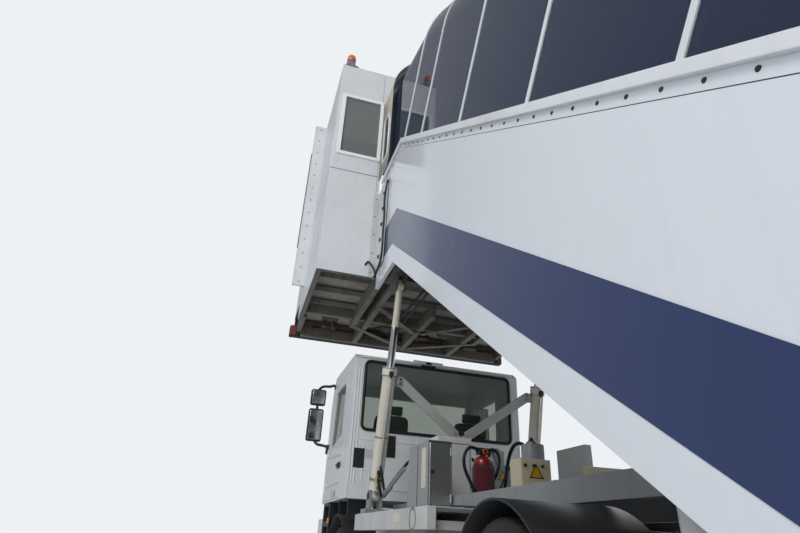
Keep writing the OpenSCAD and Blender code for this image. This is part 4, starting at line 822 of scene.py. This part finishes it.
bmesh.ops.recalc_face_normals(tunnel, faces=tunnel.faces[:])
tunnel_coat = enamel("sleeve_coating_beige", "#b5b0a1", "#8b8576", roughness=0.5, coat=0.05, runs=0.5)
collar = fit("collar_sleeve", "platform", tunnel_coat, tunnel)
skin = collar.modifiers.new("thickness", "SOLIDIFY")
skin.thickness = 0.003
corners = [(2720, 5060), (2760, 5020), (2930, 5020), (2970, 5060),
           (2970, 5700), (2930, 5740), (2800, 5740), (2720, 5560)]
lights = bmesh.new()
for name, side in hands.items():
    around = [(x, side * (sleeve_side + 4), z) for x, z in corners][::-side]
    lights.faces.new([lights.verts.new(at(*corner)) for corner in around])
    hose("collar_window_seal_" + name, "platform", cabin_enamel, 13, around, closed=True)
fit("collar_windows", "platform", pane("collar_window_glass", "#3c403e", 0.25), lights)

# Joints and windows of the cabin.
# White sandwich panels meet in sealed joints. Plain glass in white frames has a pale rolled blind behind it.
beads = bmesh.new()
for side in (-1, 1):
    block(beads, (3149, 3151), (side * 1092, side * 1750), (4951, 4957))
    block(beads, (3149, 3151), (side * 1128, side * 1132), (3800, 6752))
    block(beads, (3154, 4700), (side * 1749, side * 1751), (4951, 4957))
    for x in (3600, 4150):
        block(beads, (x, x + 4), (side * 1749, side * 1751), (3800, 6752))
fit("wall_joint_beads", "platform", enamel("joint_sealant_grey", "#6f7274", "#565652", roughness=0.6, coat=0.0), beads)
curtains = bmesh.new()
for side in (-1, 1):
    for low in (5300, 5356, 5450, 5492):
        bar(curtains, (3196, side * 1165, low), (3196, side * 1645, low), 24, sides=14)
fit("window_blind", "platform", cloth("blind_cloth_pale", "#dcddd4", 0.003), curtains)
rims = bmesh.new()
for side in (-1, 1):
    for y in (1112, 1650):
        block(rims, (3134, 3150), (side * y, side * (y + 48)), (5197, 6238))
    for z in (5197, 6190):
        block(rims, (3134, 3150), (side * 1160, side * 1650), (z, z + 48))
fit("cabin_window_frames", "platform", enamel("window_frame_white", "#fbfbfa", "#e6e6e3", roughness=0.25), rims, 0.004)

# Beacons.
# Orange moulded domes turn on grey painted brackets at the roof's rear corners. Each has a black cable to the roof.
beacon_x, beacon_y = 3200, 1640
stands = bmesh.new()
domes = bmesh.new()
for side in (-1, 1):
    block(stands, (3136, 3270), (side * 1560, side * 1720), (6788, 6812))
    block(stands, (3146, 3254), (side * 1584, side * 1696), (6812, 6900))
    bar(stands, (beacon_x, side * beacon_y, 6900), (beacon_x, side * beacon_y, 6922), 62, 58, 32)
    turned(domes, [(0, 0), (61, 0), (65, 8), (62, 66), (52, 94), (30, 110), (0, 115)],
           (beacon_x, side * beacon_y, 6920), (0, 0, 1), 36)
stand_enamel = enamel("stand_enamel_grey", "#7d8081", "#55534e", roughness=0.4)
dome_plastic = moulded("beacon_orange_plastic", "#d96a17", 0.16, 200.0, 0.05)
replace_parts(fit("beacon_stands", "platform", stand_enamel, stands, 0.006), "beacons")
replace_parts(fit("beacon_domes", "platform", dome_plastic, domes), "beacons")
hose("beacon_cables", "platform", rubber, 7,
     *([(3200, side * 1600, 6830), (3160, side * 1570, 6836), (3150, side * 1520, 6800), (3200, side * 1490, 6794)]
       for side in (1, -1)))

# Front hood.
# One strip of white coated cloth, folded in six pleats round the front of the cabin, between a screwed steel frame
# and a thick rubber-clad bow at its front.
hood_cloth = cloth("hood_coated_cloth", "#d3d1c8", 0.004)
hood_foot, corner_radius, pleats, depth = 4925, 120, 6, 628
path = [(-1, 0, 0)] + [(side, 1, start - 90 * k / 8) for side, start in ((-1, 180), (1, 90)) for k in range(9)]
path.append((1, 0, 0))
form = bmesh.new()
grid = []
for k in range(12 * pleats + 1):
    fold = 0.5 - 0.5 * math.cos(2 * math.pi * k / 12)
    x = 4742 + depth * k / (12 * pleats)
    out, top = 1886 - 66 * fold, 6852 - 66 * fold
    spring = top - corner_radius
    row = []
    for side, over, a in path:
        if over:
            row.append((x, side * (out - corner_radius) + corner_radius * math.cos(math.radians(a)),
                        spring + corner_radius * math.sin(math.radians(a))))
        else:
            for h in range(9):
                row.append((x, side * out, hood_foot + (spring - hood_foot) * (h if side < 0 else 9 - h) / 9))
    grid.append([form.verts.new(at(*p)) for p in row])
cut = 0.0
for a, b in zip(grid, grid[1:]):
    for p, q, r, s in zip(a, a[1:], b[1:], b):
        cut += form.faces.new((p, q, r, s)).calc_area()
strip = sum((a.co - b.co).length for a, b in zip(grid[0], grid[0][1:]))
hood = fit("hood_cloth", "platform", hood_cloth, form)
shell = hood.modifiers.new("thickness", "SOLIDIFY")
shell.thickness = 0.003
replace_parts(hood, "front_hood")
rim = bmesh.new()
for side in (-1, 1):
    block(rim, (4700, 4740), (side * 1712, side * 1920), (3950, 6900))
    block(rim, (4696, 4744), (side * 1906, side * 1920), (3950, 6900))
block(rim, (4700, 4740), (-1712, 1712), (6752, 6900))
fit("hood_frame", "platform", cabin_enamel, rim, 0.004)
studs = bmesh.new()
for side in (-1, 1):
    for k in range(13):
        z = 4010 + 235 * k
        bar(studs, (4699, side * 1835, z), (4692, side * 1835, z), 11, 9, 12)
for y in range(-1600, 1700, 235):
    bar(studs, (4699, y, 6826), (4692, y, 6826), 11, 9, 12)
fit("hood_frame_screws", "platform", fittings, studs)
bow = bmesh.new()
for side in (-1, 1):
    block(bow, (5372, 5458), (side * 1782, side * 1898), (4922, 6868))
block(bow, (5372, 5458), (-1782, 1782), (6752, 6868))
fit("hood_bow", "platform", moulded("bow_rubber_black", "#1b1c1d", 0.6, 300.0, 0.3), bow, 0.03, 4)
marks = bmesh.new()
for side in (-1, 1):
    block(marks, (5598, 5719), (side * 1700, side * 1796), (3504, 3668))
fit("buffer_end_markers", "platform", moulded("marker_rubber_red", "#5f2c24", 0.6, 300.0, 0.3), marks, 0.012)

# Lift legs.
# Two hydraulic cylinders of drawn steel tube with cream barrels and hard chromed rods, on pins in the subframe's lugs
# and in the stairs' eyes.
cylinder_enamel = enamel("cylinder_enamel_cream", "#e3decf", "#b5ac95", roughness=0.3)
dress("lift_barrels", cylinder_enamel, 0.003)
brace_enamel = enamel("brace_enamel_grey", "#b9bbb6", "#8b867b", roughness=0.38)


def rod_finish():
    """Ground chrome where the rod slides in the barrel, cream enamel on its upper tube, which starts 2.784 m up."""
    material = new_material("rod_chrome_and_enamel")
    place = add_node(material, "TexCoord").outputs["Object"]
    height = add_node(material, "SeparateXYZ", Vector=place).outputs["Z"]
    upper = add_node(material, "MapRange", Value=height, i1=2.782, i2=2.786, i3=0.0, i4=1.0).outputs[0]
    cloud = add_node(material, "TexNoise", Vector=place, Scale=9.0, Detail=5.0).outputs["Fac"]
    bright = add_node(material, "Mix", {"data_type": "RGBA"}, i0=cloud, i6=linear("#d9dbdc"), i7=linear("#a9abab"))
    cream = add_node(material, "Mix", {"data_type": "RGBA"}, i0=cloud, i6=linear("#dcd8cb"), i7=linear("#b5ac95"))
    tone = add_node(material, "Mix", {"data_type": "RGBA"}, i0=upper, i6=bright.outputs[2], i7=cream.outputs[2])
    metal = add_node(material, "Math", {"operation": "SUBTRACT"}, i0=1.0, i1=upper)
    dull = add_node(material, "MapRange", Value=upper, i1=0.0, i2=1.0, i3=0.16, i4=0.32)
    return lay(material, add_node(material, "BsdfPrincipled", Base_Color=tone.outputs[2], Metallic=metal.outputs[0],
                                  Roughness=dull.outputs[0]))


dress("lift_rods", rod_finish(), 0.002)

# Brace of the lift legs.
# Flat steel bars, flame cut with round ends, run from a foot on the middle pin to a plate on each barrel.
pin_x, pin_z, leg_y = 3250, 1140, 870
lean_of = math.atan((pin_x - 2700) / (3220 - pin_z))


def leg(s, y, out=0.0):
    """Point on the axis of a leg, s along it from the lower pin, and out to its rear."""
    return (pin_x - s * math.sin(lean_of) - out * math.cos(lean_of), y,
            pin_z + s * math.cos(lean_of) - out * math.sin(lean_of))


def prism(form, points, near, far):
    """Adds a flat plate in the plane of the legs: points of (s, y), between two depths."""
    plate = form.faces.new([form.verts.new(at(*leg(s, y, near))) for s, y in points])
    drawn = bmesh.ops.extrude_face_region(form, geom=[plate])["geom"]
    bmesh.ops.translate(form, verts=[part for part in drawn if isinstance(part, bmesh.types.BMVert)],
                        vec=at(*leg(0, 0, far)) - at(*leg(0, 0, near)))
    bmesh.ops.recalc_face_normals(form, faces=form.faces[:])


half_bar = 50
across = math.atan2(490, -682)
brace = bmesh.new()
for side in (-1, 1):
    tip = [across - math.pi * k / 10 for k in range(11)]
    ends = [(660, 60, tip[0])] + [(1150, 742, a) for a in tip] + [(660, 60, tip[-1])]
    prism(brace, [(s + half_bar * math.cos(a), side * (y + half_bar * math.sin(a))) for s, y, a in ends], -10, 10)
    prism(brace, [(1095, side * 712), (1095, side * 801), (1188, side * 801), (1188, side * 712)], -24, -10)
prism(brace, [(90, -95), (90, 95), (640, 95), (700, 70), (650, 0), (700, -70), (640, -95)], -10, 10)
prism(brace, [(20, -40), (20, 40), (300, 40), (300, -40)], -30, 30)
for reach, radius, sides in ((40, 55, 40), (68, 25, 28)):
    bar(brace, (pin_x, -reach, pin_z), (pin_x, reach, pin_z), radius, sides=sides)
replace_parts(fit("flat_brace", "lift_legs", brace_enamel, brace, 0.003), "sway_brace")

# Fittings of the lift legs.
# Forged eyes with plated pins, gland rings, feed pipes along the barrels and rubber hoses to the deck. Painted struts
# lock the legs for work underneath.
struts = bmesh.new()
for side in (-1, 1):
    bar(struts, (2560, side * 775, 1345), (2960, side * 790, 1215), 17, sides=24)
    bar(struts, (2960, side * 790, 1215), (3180, side * 800, 1142), 26, sides=24)
fit("lock_struts", "chassis", subframe_paint, struts, 0.003)
for name, side in hands.items():
    y = side * leg_y
    collars = bmesh.new()
    for s, radius, long in ((150, 74, 26), (560, 71, 16), (1186, 80, 12), (1262, 80, 14)):
        bar(collars, leg(s, y), leg(s + long, y), radius, sides=40)
    for s in (40, 96):
        bar(collars, leg(s, y, 40), leg(s, y, 92), 18, sides=6)
    fit("barrel_collars_" + name, "lift_legs", fittings, collars, 0.002)
    ports = bmesh.new()
    for s in (235, 1215):
        z = leg(s, y, 80)[2]
        block(ports, (leg(s, y, 60)[0], leg(s, y, 98)[0]), (y - 22, y + 22), (z - 22, z + 22))
        bar(ports, leg(s, y, 84), leg(s - 46, y, 84), 15, sides=6)
    for near, far in ((-74, -62), (62, 74)):
        bar(ports, (pin_x, y + near, pin_z), (pin_x, y + far, pin_z), 36, sides=28)
    fit("barrel_ports_" + name, "lift_legs", black_plastic, ports, 0.003)
    hose("barrel_pipe_" + name, "lift_legs", chrome, 9, [leg(s, y, 84) for s in (1170, 900, 600, 300)])
    unions = bmesh.new()
    bar(unions, leg(150, y + side * 20, 84), leg(196, y + side * 20, 84), 17, sides=20)
    union_paint = enamel("fitting_yellow_" + name, "#b99a2e", "#6b5a22", roughness=0.35)
    fit("hose_fittings_" + name, "lift_legs", union_paint, unions, 0.002)
    hose("leg_hoses_" + name, "lift_legs", rubber, 12,
         [leg(196, side * 890, 84), leg(120, side * 866, 110), leg(70, side * 850, 120), leg(20, side * 830, 100)],
         [leg(300, y, 84), leg(230, side * 850, 110), leg(120, side * 815, 110), leg(40, side * 790, 80)])
    heads = bmesh.new()
    for s, reach, out, radius in ((1128, 742, 28, 17), (1172, 742, 28, 17), (470, 62, 26, 15), (600, 62, 26, 15)):
        bar(heads, leg(s, side * reach, 10), leg(s, side * reach, out), radius, radius - 2, 6)
    fit("brace_bolts_" + name, "lift_legs", fittings, heads, 0.001)

# Wheels.
# Radial road tyres with a blocked tread, moulded in black rubber, on pressed steel rims in silver enamel. The rear ones
# are twins, and ten plated nuts hold each wheel.
tyre_rubber = moulded("tyre_rubber", "#1b1b1c", 0.75, 400.0, 0.4)
rim_enamel = enamel("rim_enamel_silver", "#c2c4c6", "#8c8880", roughness=0.35)
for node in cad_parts:
    if node.startswith("rim"):
        dress(node, rim_enamel, 0.004)
    if node.startswith("knuckle"):
        dress(node, chassis_paint, 0.003)
tyre_radius = 435
tread_steps = 132


def add_tyre(form, x, y):
    """Adds a road tyre: crowned tread with four grooves and shoulder lugs, rounded walls with a rim guard rib.

    The spin starts on a diagonal, half a step from the axes, so each vertex has a whole number of steps below it.
    """
    wall = [(250, -104), (262, -118), (286, -125), (296, -130), (304, -127), (350, -129.5), (388, -127), (412, -119),
            (427, -108), (433, -98)]
    outline = wall[:]
    for groove in (-68, -23, 23, 68):
        outline += [(434.4, groove - 6), (421, groove - 4), (421, groove + 4), (434.4, groove + 6)]
    outline += [(radius, -across) for radius, across in wall[::-1]] + wall[:1]
    tyre = bmesh.new()
    turned(tyre, outline, (x, y, tyre_radius), (0, 1, 0), tread_steps)
    axle = at(x, y, tyre_radius)
    for v in tyre.verts:
        spoke = v.co - axle
        across = spoke.y * 1000
        spoke.y = 0
        radius = spoke.length * 1000
        k = math.floor(math.atan2(spoke.z, spoke.x) / (2 * math.pi) * tread_steps) % tread_steps
        lug = 9 if abs(across) > 90 and radius > 405 and k % 3 == 0 else 0
        slit = 3 if abs(across) < 75 and radius > 430 and (k + (across > 0)) % 4 == 0 else 0
        v.co -= spoke.normalized() * (lug + slit) / 1000
    mesh = bpy.data.meshes.new("tyre")
    tyre.to_mesh(mesh)
    tyre.free()
    form.from_mesh(mesh)
    bpy.data.meshes.remove(mesh)


for node, body, x, ys, face_y in (
        ("tyre_front_left", "wheel_front_left", 4185, (900,), 985),
        ("tyre_front_right", "wheel_front_right", 4185, (-900,), -985),
        ("tyres_rear_left", "wheel_rear_left", 0, (985, 690), 970),
        ("tyres_rear_right", "wheel_rear_right", 0, (-985, -690), -970)):
    form = bmesh.new()
    for y in ys:
        add_tyre(form, x, y)
    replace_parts(fit(node + "_tread", body, tyre_rubber, form), node)
    out = math.copysign(1, face_y)
    nuts = bmesh.new()
    for k in range(10):
        a = 2 * math.pi * k / 10
        px, pz = x + 96 * math.cos(a), tyre_radius + 96 * math.sin(a)
        bar(nuts, (px, face_y - out * 2, pz), (px, face_y + out * 17, pz), 16, sides=6)
        bar(nuts, (px, face_y, pz), (px, face_y + out * 26, pz), 9, sides=12)
    bar(nuts, (x, face_y - out * 2, tyre_radius), (x, face_y + out * 12, tyre_radius), 62, 54, 36)
    bar(nuts, (x + 215, face_y - out * 60, tyre_radius), (x + 215, face_y - out * 15, tyre_radius), 5, sides=10)
    fit(node + "_nuts", body, fittings, nuts, 0.001)
